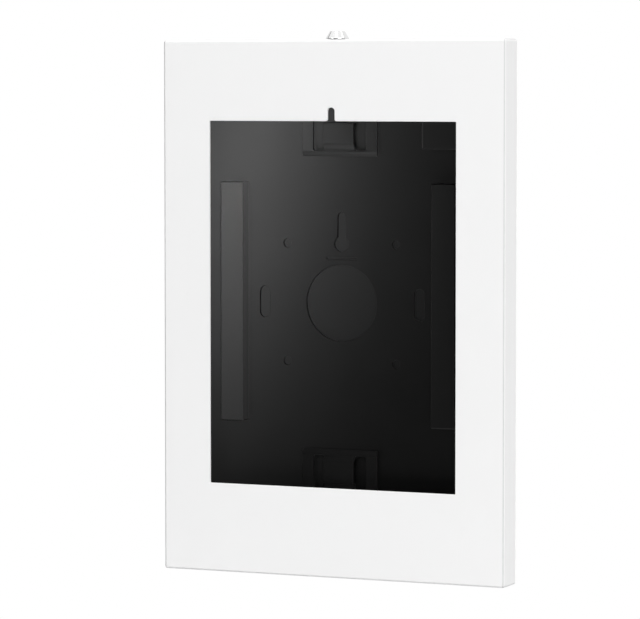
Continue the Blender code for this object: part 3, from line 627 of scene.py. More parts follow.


# The white coat has painted shade on its upright folds. The plate has painted shade in its hollows, where it
# is also matt.
WHITE = (0.885, 0.875)
BLACK = (0.0100, 0.0085)
MATERIALS = {
    "white_powder_coat": powder_coat("white_powder_coat_painted_fold_shade", WHITE, 0.50, 0.10, 0.5, "fold", 0.62),
    "black_powder_coat": powder_coat("black_powder_coat_finish", BLACK, 0.30, 0.04, 0.30),
    "plate_coat_painted_shade": powder_coat("plate_powder_coat_painted_hollow_shade", BLACK, 0.30, 0.04, 0.30, "hollow", 0.001, True),
    "strip_foam": foam("smooth_black_foam", (0.0100, 0.0080), 0.33, 0.06, 0.00045, 0.35),
    "black_foam": foam("cut_black_foam", (0.016, 0.010), 0.75, 0.35, 0.00060),
    "polished_chrome": plated("polished_chrome_finish", (0.80, 0.78), 0.07, 0.03, 0.02),
    "zinc_plated_steel": plated("bright_zinc_finish", (0.66, 0.58), 0.28, 0.14, 0.12),
    "black_zinc_steel": plated("black_zinc_finish", (0.050, 0.035), 0.36, 0.12, 0.12),
}


def plate_front():
    """Depth of the back plate's front face."""
    return PLATE_SHEET - size_of("back_plate")[1][1]


def depths_of(node):
    """Depth of a node's rear and of its front, and half its width."""
    low, high = size_of(node)
    return -high[1], -low[1], (high - low)[0] / 2


def cover_loops():
    """Matching points of the window's edge and the cover's outline, each with its step across the metal."""
    low, high = size_of("front_cover")
    foot = -WINDOW_HEIGHT / 2 - WINDOW_DROP
    top = WINDOW_HEIGHT / 2 - WINDOW_DROP
    half_slot = SLOT_WIDTH / 2

    def corner(side, up, start):
        step = arc((0.0, 0.0), 1.0, start, start + 90, CORNER_STEPS)
        window_z, cover_z = (top, high[2]) if up > 0 else (foot, low[2])
        window = (side * (WINDOW_WIDTH / 2 - WINDOW_CORNER), window_z - up * WINDOW_CORNER)
        cover = (side * (high[0] - COVER_CORNER), cover_z - up * COVER_CORNER)
        return window + WINDOW_CORNER * step, step, cover + COVER_CORNER * step, step

    edge = []
    edge_step = []
    for middle, radius, start, end, steps, out in (
            ((half_slot + SLOT_FILLET, top + SLOT_FILLET), SLOT_FILLET, 270, 180, 6, -1),
            ((0.0, top + SLOT_HEIGHT - half_slot), half_slot, 0, 180, 16, 1),
            ((-half_slot - SLOT_FILLET, top + SLOT_FILLET), SLOT_FILLET, 0, -90, 6, -1)):
        step = arc((0.0, 0.0), 1.0, start, end, steps)
        edge.append(middle + radius * step)
        edge_step.append(out * step)
    edge = np.concatenate(edge)
    x = np.linspace(SLOT_SPREAD, -SLOT_SPREAD, len(edge))
    rim = np.stack([x, np.full_like(x, high[2])], -1)
    slot = (edge, np.concatenate(edge_step), rim, np.stack([np.zeros_like(x), np.ones_like(x)], -1))
    runs = (corner(1, -1, -90), corner(1, 1, 0), slot, corner(-1, 1, 90), corner(-1, -1, 180))
    return tuple(np.concatenate(items) for items in zip(*runs))


def build_cover():
    """The folded cover: a closed section carried round the window.

    Along the section: the front face, the fold as a quarter circle, the side wall, the rear edge, the inner
    wall, the inner face and the window's rounded edge. Each row is the window's or the cover's loop, moved by
    an inset along its steps, at one depth.
    """
    high = size_of("front_cover")[1]
    rear, front, half_width = depths_of("front_cover")
    edge, edge_step, rim, rim_step = cover_loops()
    quarter = np.linspace(0.0, math.pi / 2, CORNER_STEPS + 1)
    small = np.linspace(0.0, math.pi / 2, RIM_STEPS + 1)
    rise = SHEET_RIM * (1 - np.sin(small))
    fall = SHEET_RIM * (1 - np.cos(small))
    inner = COVER_BEND - COVER_SHEET
    rows = []
    for loop, step, inset, depth in (
            (rim, -rim_step, COVER_BEND * (1 - np.sin(quarter)), front - COVER_BEND * (1 - np.cos(quarter))),
            (rim, -rim_step, fall, rear + rise),
            (rim, -rim_step, COVER_SHEET - rise, rear + fall),
            (rim, -rim_step, COVER_BEND - inner * np.cos(small), front - COVER_BEND + inner * np.sin(small)),
            (edge, edge_step, rise, front - COVER_SHEET + fall),
            (edge, edge_step, fall, front - rise)):
        flat = loop[None] + step[None] * inset[:, None, None]
        rows.append(np.stack([flat[..., 0], -np.repeat(depth[:, None], len(loop), 1), flat[..., 1]], -1))
    points = np.concatenate(rows)
    hooks = [hook_part(side, level * HOOK_SPACING / 2, half_width, rear)
             for side in (-1, 1) for level in (-1, 1)]
    return make_piece("folded_front_cover", [(points, grid_faces(len(points), len(edge), True, True))],
                      "white_powder_coat", "mount", ["front_cover"], cuts=[lock_hole(high[2])], joins=hooks)


def flats_at(half, angle):
    """Radius of two flats that lie at a distance of half on either side of the axis, at each angle."""
    return half / np.maximum(np.abs(np.cos(angle)), 1e-6)


def lock_hole(top):
    """The double-D hole for the lock in the cover's top wall."""
    width = BARREL / 2 + PLAY
    under = top - 2 * COVER_SHEET
    over = top + COVER_SHEET

    def shape(radius, along, angle):
        return np.minimum(radius, flats_at(BARREL_FLATS / 2 + PLAY, angle)), along

    profile = [(0.0, under), (width, under), (width, over), (0.0, over)]
    return [turned(profile, centre_of("lock_barrel", (0, 1)), shape=shape)]


def bent(b, t, radius):
    """How far a point of a bent strip has come along the strip's first direction, and how far away from it.

    The strip is straight up to b = 0, follows a quarter circle of the radius in its middle layer, and then
    runs on square to its start. t is the distance from the middle layer towards the inside of the bend.
    """
    angle = np.clip(b / radius, 0.0, math.pi / 2)
    rest = b - radius * angle
    along = (radius - t) * np.sin(angle) + rest * np.cos(angle)
    return along, radius - (radius - t) * np.cos(angle) + rest * np.sin(angle)


def hook_part(side, level, half_width, rear):
    """A hook folded in from the side wall's rear edge: a strip whose first part lies in the wall."""
    turn = HOOK_BEND * math.pi / 2
    reach = HOOK_REACH + COVER_SHEET / 2 - HOOK_BEND
    start = rear + COVER_SHEET / 2 + HOOK_BEND
    wall = half_width - COVER_SHEET / 2

    def place(a, b, t):
        along, away = bent(b, -t, HOOK_BEND)
        return np.stack([side * (wall - away), along - start, level + a], -1)

    length = HOOK_ROOT + turn + reach
    outline = box_outline((0.0, length / 2 - HOOK_ROOT), HOOK_HEIGHT, length, HOOK_CORNER)
    bends = np.linspace(0.0, turn, BEND_LEVELS)
    return sheet_part(outline, [], COVER_SHEET - HOOK_THINNER, place, places=bends)


def fold_up(lower, upper, radius, middle_depth, toward_front=1):
    """Place function for a sheet in an upright plane whose ends fold away.

    Past the lower and the upper level the sheet follows a quarter circle of the radius, and then runs
    straight to the front, or to the wall where toward_front is -1.
    """
    def place(a, b, t):
        beyond = np.maximum(b - upper, 0.0) + np.maximum(lower - b, 0.0)
        sign = np.where(b > (lower + upper) / 2, 1.0, -1.0)
        along, away = bent(beyond, toward_front * t, radius)
        depth = middle_depth + toward_front * away
        return np.stack([a, -depth, np.clip(b, lower, upper) + sign * along], -1)

    return place


def build_back_plate():
    """The plate with its holes, notches and two folded flanges, unfolded as one outline."""
    low, high = size_of("back_plate")
    cam_low, cam_high = size_of("lock_cam")
    radius = PLATE_BEND - PLATE_SHEET / 2
    lower = low[2] + PLATE_BEND
    upper = high[2] - PLATE_BEND
    turn = radius * math.pi / 2
    flange = high[1] - low[1] - PLATE_BEND
    ends = (lower - turn - flange, upper + turn + flange)
    notch_in = size_of("front_cover")[1][0] - COVER_SHEET - HOOK_REACH - PLAY
    notch_half = HOOK_HEIGHT / 2 + PLAY

    right = [(high[0], ends[0])]
    for centre in (HOOK_LIFT - HOOK_SPACING / 2, HOOK_LIFT + HOOK_SPACING / 2):
        right += [(high[0], centre - notch_half), (notch_in, centre - notch_half),
                  (notch_in, centre + notch_half), (high[0], centre + notch_half)]
    right = np.array(right + [(high[0], ends[1])])
    room = [(LOCK_ROOM, ends[1]), (LOCK_ROOM, upper + turn), (-LOCK_ROOM, upper + turn),
            (-LOCK_ROOM, ends[1])]
    outline = soften(np.concatenate([right, room, right[::-1] * (-1.0, 1.0)]), PLATE_CORNER)

    holes = [circle((0.0, 0.0), CABLE_HOLE / 2, 128), keyhole()]
    slot_middle = -size_of("left_foam_strip")[1][0] - SIDE_SLOT_GAP - SIDE_SLOT_WIDTH / 2
    for side in (-1, 1):
        for centre in ((PATTERN / 2, PATTERN / 2), centre_of("guide_nut_top_right", (0, 2))):
            for level in (-1, 1):
                holes.append(circle(np.multiply(centre, (side, level)), PATTERN_HOLE / 2, HOLE_STEPS))
        holes.append(box_outline((side * slot_middle, 0.0), SIDE_SLOT_WIDTH, SIDE_SLOT_LENGTH,
                                 SIDE_SLOT_WIDTH / 2 - 1e-5))
    tie = (CABLE_HOLE + PATTERN - KEYHOLE_HEAD) / 4
    holes.append(box_outline((0.0, tie), TIE_SLOT_WIDTH, TIE_SLOT_HEIGHT, 0.0004))
    cam_room = cam_high - cam_low + 2 * CAM_SLOT_PLAY
    cam_middle = (cam_low + cam_high)[2] / 2
    holes.append(box_outline((0.0, cam_middle), cam_room[0] + CAM_SLOT_MORE, cam_room[2], CAM_SLOT_PLAY))

    place = fold_up(lower, upper, radius, -high[1] + PLATE_SHEET / 2)
    bends = np.linspace(0.0, turn, BEND_LEVELS)
    places = np.concatenate([lower - bends, upper + bends])
    parts = sheet_part(outline, holes, PLATE_SHEET, place, places=places)
    # The plate's coat has painted shade in its hollows, and is matt there.
    make_piece("slotted_back_plate", parts, "black_powder_coat", "mount", ["back_plate"], "plate_coat_painted_shade")


def keyhole():
    """Round head level with the upper holes and a narrow neck that runs up."""
    head = KEYHOLE_HEAD / 2
    neck = KEYHOLE_NECK / 2
    level = PATTERN / 2
    meet = math.degrees(math.asin(neck / head))
    end = (0.0, level + KEYHOLE_LENGTH - neck)
    return np.concatenate([arc((0.0, level), head, 90 + meet, 450 - meet, 48), arc(end, neck, 0, 180, 16)])


def smooth(share):
    """A smooth step: 0 up to a share of 0, 1 from a share of 1, and 3 s^2 - 2 s^3 between them."""
    share = np.clip(share, 0.0, 1.0)
    return share * share * (3 - 2 * share)


def build_clamp(name, body, level):
    """A clamp: slotted sheet, its foot folded back to the plate, and the middle raised like a bridge.

    The bridge adds to the depth a height times two smooth steps along the clamp, between the slots only.
    """
    low, high = size_of("top_clamp")
    pad_half, _, pad_top = size_of("top_clamp_pad")[1]
    radius = CLAMP_BEND - CLAMP_SHEET / 2
    turn = radius * math.pi / 2
    fold = low[2] + CLAMP_BEND
    front = plate_front() + SEAT + CLAMP_RISE
    end = fold - turn - (CLAMP_RISE - CLAMP_BEND)
    outline = soften([(high[0], end), (high[0], high[2]), (-high[0], high[2]), (-high[0], end)],
                     [CLAMP_CORNER, CLAMP_END_CORNER, CLAMP_END_CORNER, CLAMP_CORNER], 6)
    slot_low = low[2] + CLAMP_SLOT_START
    slot_high = high[2] - CLAMP_SLOT_END
    slot_middle = CLAMP_SLOT_INNER + CLAMP_SLOT_WIDTH / 2
    jaw_root = pad_top + SEAT
    hole_low = jaw_root + CLAMP_SHEET + JAW_WINDOW_LEDGE
    holes = [box_outline((side * slot_middle, (slot_low + slot_high) / 2), CLAMP_SLOT_WIDTH,
                         slot_high - slot_low, CLAMP_SLOT_CORNER) for side in (-1, 1)]
    holes.append(box_outline((0.0, hole_low + JAW_WINDOW / 2), 2 * pad_half, JAW_WINDOW, CLAMP_SLOT_CORNER))

    rise_low = slot_low + 0.0002
    rise_high = size_of("clamp_washer_top_right")[0][2] - BRIDGE_END_GAP
    bend = fold_up(fold, 1.0, radius, front - CLAMP_SHEET / 2, -1)

    def place(a, b, t):
        points = bend(a, b, t)
        lift = smooth((b - rise_low) / BRIDGE_NEAR_SLOPE) * smooth((rise_high - b) / BRIDGE_FAR_SLOPE)
        deck = np.abs(a) < CLAMP_SLOT_INNER + CLAMP_SLOT_WIDTH / 4
        points[..., 1] -= BRIDGE_HEIGHT * lift * deck
        points[..., 2] *= level
        return points

    near = rise_low + np.linspace(0.0, BRIDGE_NEAR_SLOPE, 9)
    far = rise_high - np.linspace(0.0, BRIDGE_FAR_SLOPE, 5)
    places = np.concatenate([fold - np.linspace(0.0, turn, BEND_LEVELS), near, far])
    parts = sheet_part(outline, holes, CLAMP_SHEET, place, places=places)
    parts += jaw_part(level, pad_half, jaw_root, front - CLAMP_SHEET / 2)
    make_piece("pressed_" + name, parts, "black_powder_coat", body, [name])


def jaw_part(level, half, root, middle_depth):
    """The bent-out tongue: a strip that leaves the clamp in a quarter circle and runs to the front."""
    turn = JAW_BEND * math.pi / 2
    end = turn - size_of("top_clamp")[0][1] - middle_depth - JAW_BEND
    start = root + CLAMP_SHEET / 2 - JAW_BEND
    outline = soften([(half, -JAW_TAIL), (half, end), (-half, end), (-half, -JAW_TAIL)],
                     [0.0004, JAW_CORNER, JAW_CORNER, 0.0004])

    def place(a, b, t):
        along, away = bent(b, t, JAW_BEND)
        return np.stack([a, -(middle_depth + away), level * (start + along)], -1)

    bends = np.linspace(0.0, turn, BEND_LEVELS)
    return sheet_part(outline, [], CLAMP_SHEET - JAW_THINNER, place, places=bends)


def foam_piece(name, node, material, body="mount", corner=0.0010, rim=0.0006, waist=0.0):
    """A foam block cut from sheet, in its node's box: soft rims and sides drawn in a little."""
    low, high = size_of(node)
    flat_axis = int(np.argmin(high - low)) if node.endswith("clamp_pad") else 1
    middle = (low + high) / 2
    size = high - low
    first, second = (0, 2) if flat_axis == 1 else (0, 1)

    def place(a, b, t):
        points = np.empty(a.shape + (3,))
        points[..., first] = a
        points[..., second] = b
        points[..., flat_axis] = middle[flat_axis] - t
        return points

    outline = box_outline(middle[[first, second]], size[first], size[second], corner)
    parts = sheet_part(outline, [], size[flat_axis], place, rim=rim, waist=waist)
    piece = make_piece(name, parts, "black_foam", body, [node], material)


def build_foam():
    """Strips, block, cover liners, clamp pads and the pad behind the plate."""
    foam_piece("left_rest_strip", "left_foam_strip", "strip_foam", waist=0.00025)
    foam_piece("right_rest_strip", "right_foam_strip", "strip_foam", waist=0.00025)
    foam_piece("corner_rest_block", "corner_foam_block", "strip_foam", waist=0.00025)
    for side in ("left", "right", "top", "bottom"):
        node = side + "_cover_liner"
        foam_piece("soft_" + node, node, "black_foam", rim=0.0003)
    foam_piece("soft_rear_pad", "rear_pad", "strip_foam", corner=0.0060, rim=0.0004)
    foam_piece("top_jaw_pad", "top_clamp_pad", "black_foam", "upper_clamp", rim=0.0004)
    foam_piece("bottom_jaw_pad", "bottom_clamp_pad", "black_foam", "lower_clamp", rim=0.0004)


def build_clamp_fasteners(tag):
    """Collar nut, flat washer and socket screw at one slot."""
    bore = SCREW_SHANK / 2 + PLAY
    step = plate_front() + SEAT
    rear, front, collar = depths_of("guide_nut_" + tag)
    nut = soften([(bore, rear), (NUT_SHANK, rear), (NUT_SHANK, step), (collar, step), (collar, front),
                  (bore, front)], NUT_COLLAR_RIM)
    rear, front, outer = depths_of("clamp_washer_" + tag)
    washer = soften([(bore, rear), (outer, rear), (outer, front), (bore, front)], WASHER_RIM)
    head_rear = front + SEAT
    rear, end, head = depths_of("clamp_screw_" + tag)
    shank = SCREW_SHANK / 2
    socket = SCREW_SOCKET / 2
    floor = end - SCREW_SOCKET_DEPTH
    screw = soften([(0.0, rear), (shank, rear), (shank, head_rear), (head, head_rear), (head, end - 0.0007),
                    (head - 0.0009, end), (socket, end), (socket, floor), (0.0, floor - 0.0004)],
                   [0.0, 0.0002, 0.0001, 0.0003, 0.0007, 0.0007, 0.00012, 0.0001, 0.0])

    def drive(radius, along, angle):
        in_socket = (along > head_rear + 0.0002) & (radius < socket + 0.0002)
        return np.where(in_socket, radius * hexagon(angle), radius), along

    centre = centre_of("guide_nut_" + tag, (0, 2))
    for name, node, profile, shape in (("collar_nut_", "guide_nut_", nut, None),
                                       ("flat_washer_", "clamp_washer_", washer, None),
                                       ("socket_screw_", "clamp_screw_", screw, drive)):
        parts = [turned(profile, centre, "Y", shape=shape)]
        make_piece(name + tag, parts, "black_zinc_steel", "mount", [node + tag])


def build_lock_barrel():
    """Polished bezel on a threaded shank with two flats.

    On the shank the radius falls by a triangle wave of place / pitch - angle / full turn, and is cut off at
    the flats, which lie at a fixed distance from the axis.
    """
    low, high = size_of("lock_barrel")
    seat = size_of("front_cover")[1][2] + SEAT
    base = (high - low)[0] / 2
    bore = PLUG / 2 + PLAY
    shank = BARREL / 2
    profile = soften([(bore, low[2]), (shank, low[2]), (shank, seat), (base, seat), (base, seat + BEZEL_RIM),
                      (BEZEL_TOP / 2, high[2]), (bore, high[2])],
                     [0.0002, 0.0003, 0.0, 0.00015, 0.00035, 0.0006, 0.00025], 6)
    start = np.nonzero((profile[:, 0] > shank - MERGE) & (profile[:, 1] < seat - 0.001))[0][-1]
    rows = np.arange(low[2] + THREAD_FADE, seat - 0.0002, THREAD_PITCH / 10)
    profile = np.insert(profile, start + 1, np.stack([np.full(len(rows), shank), rows], -1), axis=0)

    def shape(radius, along, angle):
        on_shank = (along < seat - 1e-5) & (radius > bore + 0.0004)
        wave = np.abs(((along / THREAD_PITCH - angle / (2 * math.pi)) % 1.0) * 2 - 1)
        upper = np.clip((seat - 0.0012 - along) / THREAD_FADE, 0.0, 1.0)
        lower = np.clip((along - low[2] - 0.0004) / THREAD_FADE, 0.0, 1.0)
        cut = radius - THREAD_DEPTH * wave * upper * lower
        return np.where(on_shank, np.minimum(cut, flats_at(BARREL_FLATS / 2, angle)), radius), along

    parts = [turned(profile, centre_of("lock_barrel", (0, 1)), steps=128, shape=shape)]
    make_piece("chrome_lock_barrel", parts, "polished_chrome", "mount", ["lock_barrel"])


def build_lock_plug():
    """Round plug with a ring-shaped keyway, its notch, and the square tail that drives the cam."""
    low, high = size_of("lock_plug")
    centre = centre_of("lock_plug", (0, 1))
    foot = size_of("lock_cam")[1][2] + SEAT
    radius = PLUG / 2
    outer = radius - PLUG_RIM
    inner = outer - KEY_GROOVE_WIDTH
    bottom = high[2] - KEY_GROOVE_DEPTH
    profile = soften(
        [(0.0, foot), (radius, foot), (radius, high[2]), (outer, high[2]), (outer, bottom), (inner, bottom),
         (inner, high[2]), (0.0, high[2])],
        [0.0, 0.0001, 0.0002, 0.0001, 0.0002, 0.0002, 0.00025, 0.0])
    notch = box_part((centre[0], centre[1] - radius, high[2]),
                     (KEY_NOTCH, 2 * (radius - inner) - 0.0006, 0.0060))
    tail = box_part((*centre, (low[2] + foot) / 2 + SEAT / 2), (PLUG_TAIL, PLUG_TAIL, foot - low[2] + SEAT))
    make_piece("chrome_lock_plug", [turned(profile, centre)], "polished_chrome", "lock_rotor", ["lock_plug"],
               cuts=[notch], joins=[tail])


def level_sheet(middle):
    """Place function for a level sheet whose middle layer lies at a height."""
    def place(a, b, t):
        return np.stack([a, b, middle + t], -1)

    return place


def box_part(middle, size):
    """A closed block with slightly rounded upright edges."""
    outline = box_outline(middle[:2], size[0], size[1], min(size[:2]) / 8)
    return sheet_part(outline, [], size[2], level_sheet(middle[2]), rim=0.00008)


def build_lock_fasteners():
    """Toothed washer and hexagon nut under the cover's top wall.

    The washer's outer radius falls between teeth by a smooth wave, and each tooth is twisted by a sine. The
    nut's radius is the smallest of its hexagon and a cone that rises from each face.
    """
    centre = centre_of("lock_washer", (0, 1))
    low, high = size_of("lock_washer")
    outer = (high - low)[0] / 2
    bore = BARREL / 2 + PLAY
    ring = np.linspace(bore, outer, 8)
    up = np.stack([ring, np.full_like(ring, high[2])], -1)
    down = np.stack([ring[::-1], np.full_like(ring, low[2])], -1)

    def teeth(radius, along, angle):
        share = (radius - bore) / (outer - bore)
        wave = 0.5 + 0.5 * np.tanh(4 * np.cos(WASHER_TEETH * angle))
        twist = WASHER_TWIST * np.sin(WASHER_TEETH * angle) * share ** 2
        return radius - WASHER_TOOTH * (1 - wave) * share ** 2, along + twist

    parts = [turned(np.concatenate([up, down]), centre, steps=288, shape=teeth)]
    make_piece("toothed_lock_washer", parts, "zinc_plated_steel", "mount", ["lock_washer"])

    low, high = size_of("lock_nut")
    flats = (high - low)[1] / 2
    rows = np.linspace(low[2], high[2], 25)
    side = np.stack([np.full_like(rows, flats / math.cos(math.pi / 6)), rows], -1)
    profile = np.concatenate([[(bore, high[2] - 0.0003), (bore, low[2] + 0.0003), (bore + 0.0003, low[2])],
                              side, [(bore + 0.0003, high[2])]])

    def faces(radius, along, angle):
        height = np.minimum(along - low[2], high[2] - along)
        cone = flats * 0.99 + NUT_CHAMFER_SLOPE * height
        shaped = np.minimum(flats * hexagon(angle + math.pi / 6), cone)
        return np.where(radius > flats, shaped, radius), along

    parts = [turned(profile, centre, steps=144, shape=faces)]
    make_piece("hexagon_lock_nut", parts, "zinc_plated_steel", "mount", ["lock_nut"])


def build_lock_cam():
    """Flat cam with a round tip and a square hole, and its slotted screw."""
    low, high = size_of("lock_cam")
    centre = centre_of("lock_plug", (0, 1))
    half = (high - low)[0] / 2
    thickness = (high - low)[2]
    reach = high[1] - centre[1]
    edge = math.degrees(math.acos(half / reach))
    outline = np.concatenate([arc(centre, reach, edge, 180 - edge, 24), arc(centre, half, 180, 360, 32)])
    hole = box_outline(centre, PLUG_TAIL + 2 * PLAY, PLUG_TAIL + 2 * PLAY, 0.0005)
    middle = (low + high)[2] / 2
    parts = sheet_part(outline, [hole], thickness, level_sheet(middle), rim=0.0002)
    make_piece("steel_lock_cam", parts, "zinc_plated_steel", "lock_rotor", ["lock_cam"])

    low, high = size_of("cam_screw")
    head = (high - low)[0] / 2
    head_top = middle - thickness / 2 - SEAT
    shank = CAM_SCREW_SHANK
    profile = soften([(0.0, low[2]), (head * 0.55, low[2]), (head, low[2] + 0.0007), (head, head_top),
                      (shank, head_top), (shank, high[2]), (0.0, high[2])],
                     [0.0, 0.0008, 0.0004, 0.0001, 0.0001, 0.0002, 0.0], 6)
    slit = box_part((*centre, low[2]), (3 * head, 0.0009, 0.0018))
    make_piece("slotted_cam_screw", [turned(profile, centre)], "zinc_plated_steel", "lock_rotor",
               ["cam_screw"], cuts=[slit])


# Camera, in the photograph's frame of 640 x 619 pixels
PHOTO_WIDTH = 640
FOCAL_PIXELS = 3636.0
CAMERA_AZIMUTH = 24.04
CAMERA_ELEVATION = 3.53
CAMERA_DISTANCE = 2.287
CAMERA_TARGET = (-0.0074, -0.0202, -0.0032)

# World
AMBIENT = 0.32
GLOSS_DIM = 0.02

# Floor
FLOOR_RADIUS = 1.1
FLOOR_SIDES = 96
FLOOR_RINGS = 12
FLOOR_DROP = 0.30
FLOOR_LIFT_NEAR = 0.05
FLOOR_LIFT_FAR = 0.80


def toward(azimuth, elevation, distance):
    """The place at a distance from the object; azimuth 0 is in front, positive to the right."""
    a = math.radians(azimuth)
    e = math.radians(elevation)
    return Vector((math.sin(a) * math.cos(e), -math.cos(a) * math.cos(e), math.sin(e))) * distance


def aim(item, place, target):
    """Puts an object at a place and points its -Z axis at the target."""
    item.location = place
    item.rotation_euler = (Vector(target) - Vector(place)).to_track_quat("-Z", "Y").to_euler()


def build_camera():
    """The camera at the photograph's viewing angle."""
    data = bpy.data.cameras.new("photo_camera")
    data.sensor_width = 36.0
    data.lens = FOCAL_PIXELS / PHOTO_WIDTH * data.sensor_width
    data.clip_start = 0.05
    data.clip_end = 200.0
    camera = bpy.data.objects.new("photo_camera", data)
    bpy.context.scene.collection.objects.link(camera)
    target = Vector(CAMERA_TARGET)
    aim(camera, target + toward(CAMERA_AZIMUTH, CAMERA_ELEVATION, CAMERA_DISTANCE), target)
    bpy.context.scene.camera = camera


def soft_lamp(name, pieces, place, size, watts, target=(0.0, 0.0, 0.0), shape="RECTANGLE", unseen=(),
              bare=False):
    """An area lamp that faces its target and lights the given pieces only.

    It is left out of the kinds of ray named as unseen, and a bare lamp casts no shadow.
    """
    data = bpy.data.lights.new(name, "AREA")
    data.shape = shape
    data.size, data.size_y = size
    data.energy = watts
    lamp = bpy.data.objects.new(name, data)
    bpy.context.scene.collection.objects.link(lamp)
    aim(lamp, place, target)
    for kind in unseen:
        setattr(lamp, "visible_" + kind, False)
    if bare:
        data.use_shadow = False
        data.cycles.use_multiple_importance_sampling = False
    lit = bpy.data.collections.new(name + "_pieces")
    for piece in pieces:
        lit.objects.link(piece)
    lamp.light_linking.receiver_collection = lit
    return lamp


def fade_down(lamp, dark_level, full_level, power):
    """Makes a lamp fade downwards: its light is a power of the height above a dark level."""
    lamp.data.use_nodes = True
    tree = lamp.data.node_tree
    place = add_node(tree, "ShaderNodeNewGeometry", {})["Position"]
    rise = ramp(tree, part_of(tree, place, "Z"), dark_level, full_level, 0.0, 1.0)
    feed(tree, {"Strength": math_node(tree, "POWER", rise, power)}, tree.nodes["Emission"].inputs)


def build_lights(bright, dark, chrome):
    """Broad lamps for the white cover, a softbox that black gloss mirrors, fills, and cards for the chrome.

    The softbox and the fills are bare. The lower clamp has a fill of its own in place of the softbox. Small
    fills lighten the left strip, the upper clamp's edge with the plate, and the upper clamp's lower lip.
    """
    upper, lower, plate, strip = (bpy.data.objects[name] for name in (
        "pressed_top_clamp", "pressed_bottom_clamp", "slotted_back_plate", "left_rest_strip"))
    soft_lamp("key_lamp", bright, toward(50, 37, 3.6), size=(2.4, 2.4), watts=144, shape="DISK")
    soft_lamp("left_lamp", bright, toward(-35, 40, 3.0), size=(1.6, 1.6), watts=42, shape="DISK")

    softbox = soft_lamp("softbox", [piece for piece in dark if piece != lower], (-0.2580, -0.3760, -0.0100),
                        size=(0.06, 0.36), watts=0.80, target=(-0.0700, -0.0033, -0.0100),
                        unseen=("diffuse",), bare=True)
    softbox.rotation_euler.rotate_axis("Z", math.radians(-8.0))
    fade_down(softbox, dark_level=-0.230, full_level=0.096, power=1.8)

    for name, pieces, elevation, watts in (("fill_lamp", dark, 10, 2.6), ("low_fill", [lower], 45, 42)):
        soft_lamp(name, pieces, toward(40, elevation, 2.0), (1.0, 1.0), watts, unseen=("glossy",), bare=True)
    for name, pieces, place, target, watts in (
            ("side_fill", [strip], (0.090, -0.080, 0.170), (-0.072, -0.009, 0.030), 4.2),
            ("edge_fill", [upper, plate], (0.300, -0.012, 0.250), (0.0, -0.012, 0.0), 1.6),
            ("lip_fill", [upper], (0.0, -0.055, -0.145), (0.0, -0.010, 0.105), 1.7)):
        soft_lamp(name, pieces, place, (0.05, 0.05), watts, target, unseen=("camera", "glossy"), bare=True)

    lock = Vector((0.0, -0.010, 0.168))
    for name, azimuth in (("left_card", -50), ("right_card", 62)):
        soft_lamp(name, chrome, lock + toward(azimuth, 52, 0.6), size=(0.78, 0.80), watts=2.1, target=lock,
                  unseen=("diffuse",))


def build_world():
    """White behind for mirrors, dim in front to keep black paint black; matt skin sees the same split at a
    lower level.
    """
    world = bpy.data.worlds.new("studio")
    bpy.context.scene.world = world
    world.use_nodes = True
    tree = world.node_tree
    behind = ramp(tree, part_of(tree, coordinate(tree, "Generated"), "Y"), -0.05, 0.35, GLOSS_DIM, 1.0)
    ray = add_node(tree, "ShaderNodeLightPath", {})
    level = ramp(tree, ray["Is Glossy Ray"], 0.0, 1.0, AMBIENT, 1.0)
    shade = math_node(tree, "MULTIPLY", behind, level)
    seen = math_node(tree, "MAXIMUM", ray["Is Camera Ray"], ray["Is Transmission Ray"])
    strength = math_node(tree, "MAXIMUM", shade, seen)
    feed(tree, {"Strength": strength, "Color": grey(1.0)}, tree.nodes["Background"].inputs)


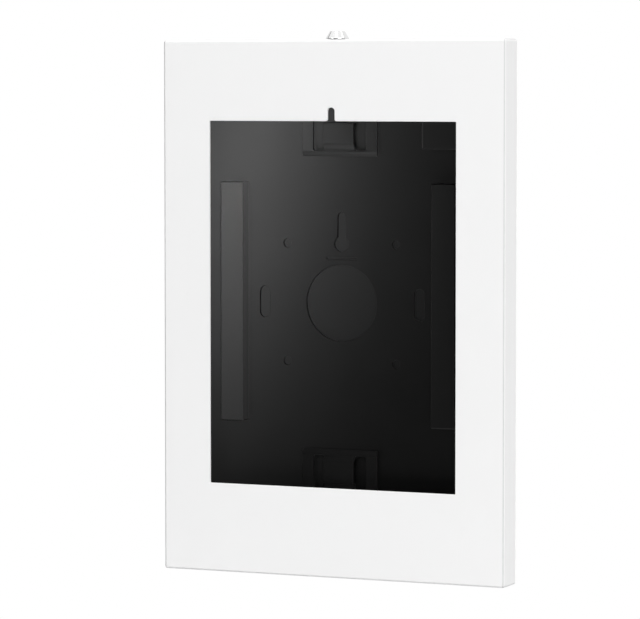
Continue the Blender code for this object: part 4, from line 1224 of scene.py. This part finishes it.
def build_floor():
    """A plain pale round floor below the mount, which fades into the white behind it towards its edge.

    Rings of points at radius r and angle a, closed by a fan at the middle.
    """
    angle = np.linspace(0.0, 2 * math.pi, FLOOR_SIDES, endpoint=False)
    radius = np.linspace(0.05, FLOOR_RADIUS, FLOOR_RINGS)[:, None]
    x, y = radius * np.cos(angle), radius * np.sin(angle)
    z = np.full_like(x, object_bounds()[0].z - FLOOR_DROP)
    points = np.concatenate([np.stack([x, y, z], -1).reshape(-1, 3), [[0.0, 0.0, z[0, 0]]]])
    side = np.arange(FLOOR_SIDES)
    hub = np.stack([np.full(FLOOR_SIDES, len(points) - 1), side, (side + 1) % FLOOR_SIDES], -1)
    rings = grid_faces(FLOOR_RINGS, FLOOR_SIDES, False, True)[:, ::-1]
    mesh = bpy.data.meshes.new("floor")
    mesh.from_pydata(points.tolist(), [], rings.tolist() + hub.tolist())
    floor = bpy.data.objects.new("floor", mesh)
    bpy.context.scene.collection.objects.link(floor)
    material, tree, sockets = start_material("pale_floor", Base_Color=grey(0.80), Roughness=0.9,
                                             Emission_Color=grey(1.0), Specular_IOR_Level=0.0)
    far = add_node(tree, "ShaderNodeVectorMath", {0: coordinate(tree, "Object")}, operation="LENGTH")["Value"]
    lift = ramp(tree, far, FLOOR_RADIUS * 0.55, FLOOR_RADIUS * 0.95, FLOOR_LIFT_NEAR, FLOOR_LIFT_FAR)
    seen = add_node(tree, "ShaderNodeLightPath", {})["Is Camera Ray"]
    feed(tree, {"Emission Strength": math_node(tree, "MULTIPLY", seen, lift)}, sockets)
    mesh.materials.append(material)
    floor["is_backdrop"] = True
    return floor


def main():
    """Dresses every CAD node, then adds the camera, floor, lamps and world."""
    cover = build_cover()
    build_back_plate()
    build_clamp("top_clamp", "upper_clamp", 1)
    build_clamp("bottom_clamp", "lower_clamp", -1)
    build_foam()
    for label in ("top", "bottom"):
        for side in ("left", "right"):
            build_clamp_fasteners(label + "_" + side)
    build_lock_barrel()
    build_lock_plug()
    build_lock_fasteners()
    build_lock_cam()
    build_camera()
    floor = build_floor()
    chrome = [bpy.data.objects["chrome_lock_barrel"], bpy.data.objects["chrome_lock_plug"]]
    bright = [cover, floor] + chrome
    dark = [item for item in bpy.context.scene.objects if item.type == "MESH" and item not in bright]
    build_lights(bright, dark, chrome)
    build_world()
    bpy.context.scene.view_settings.view_transform = "Standard"


main()
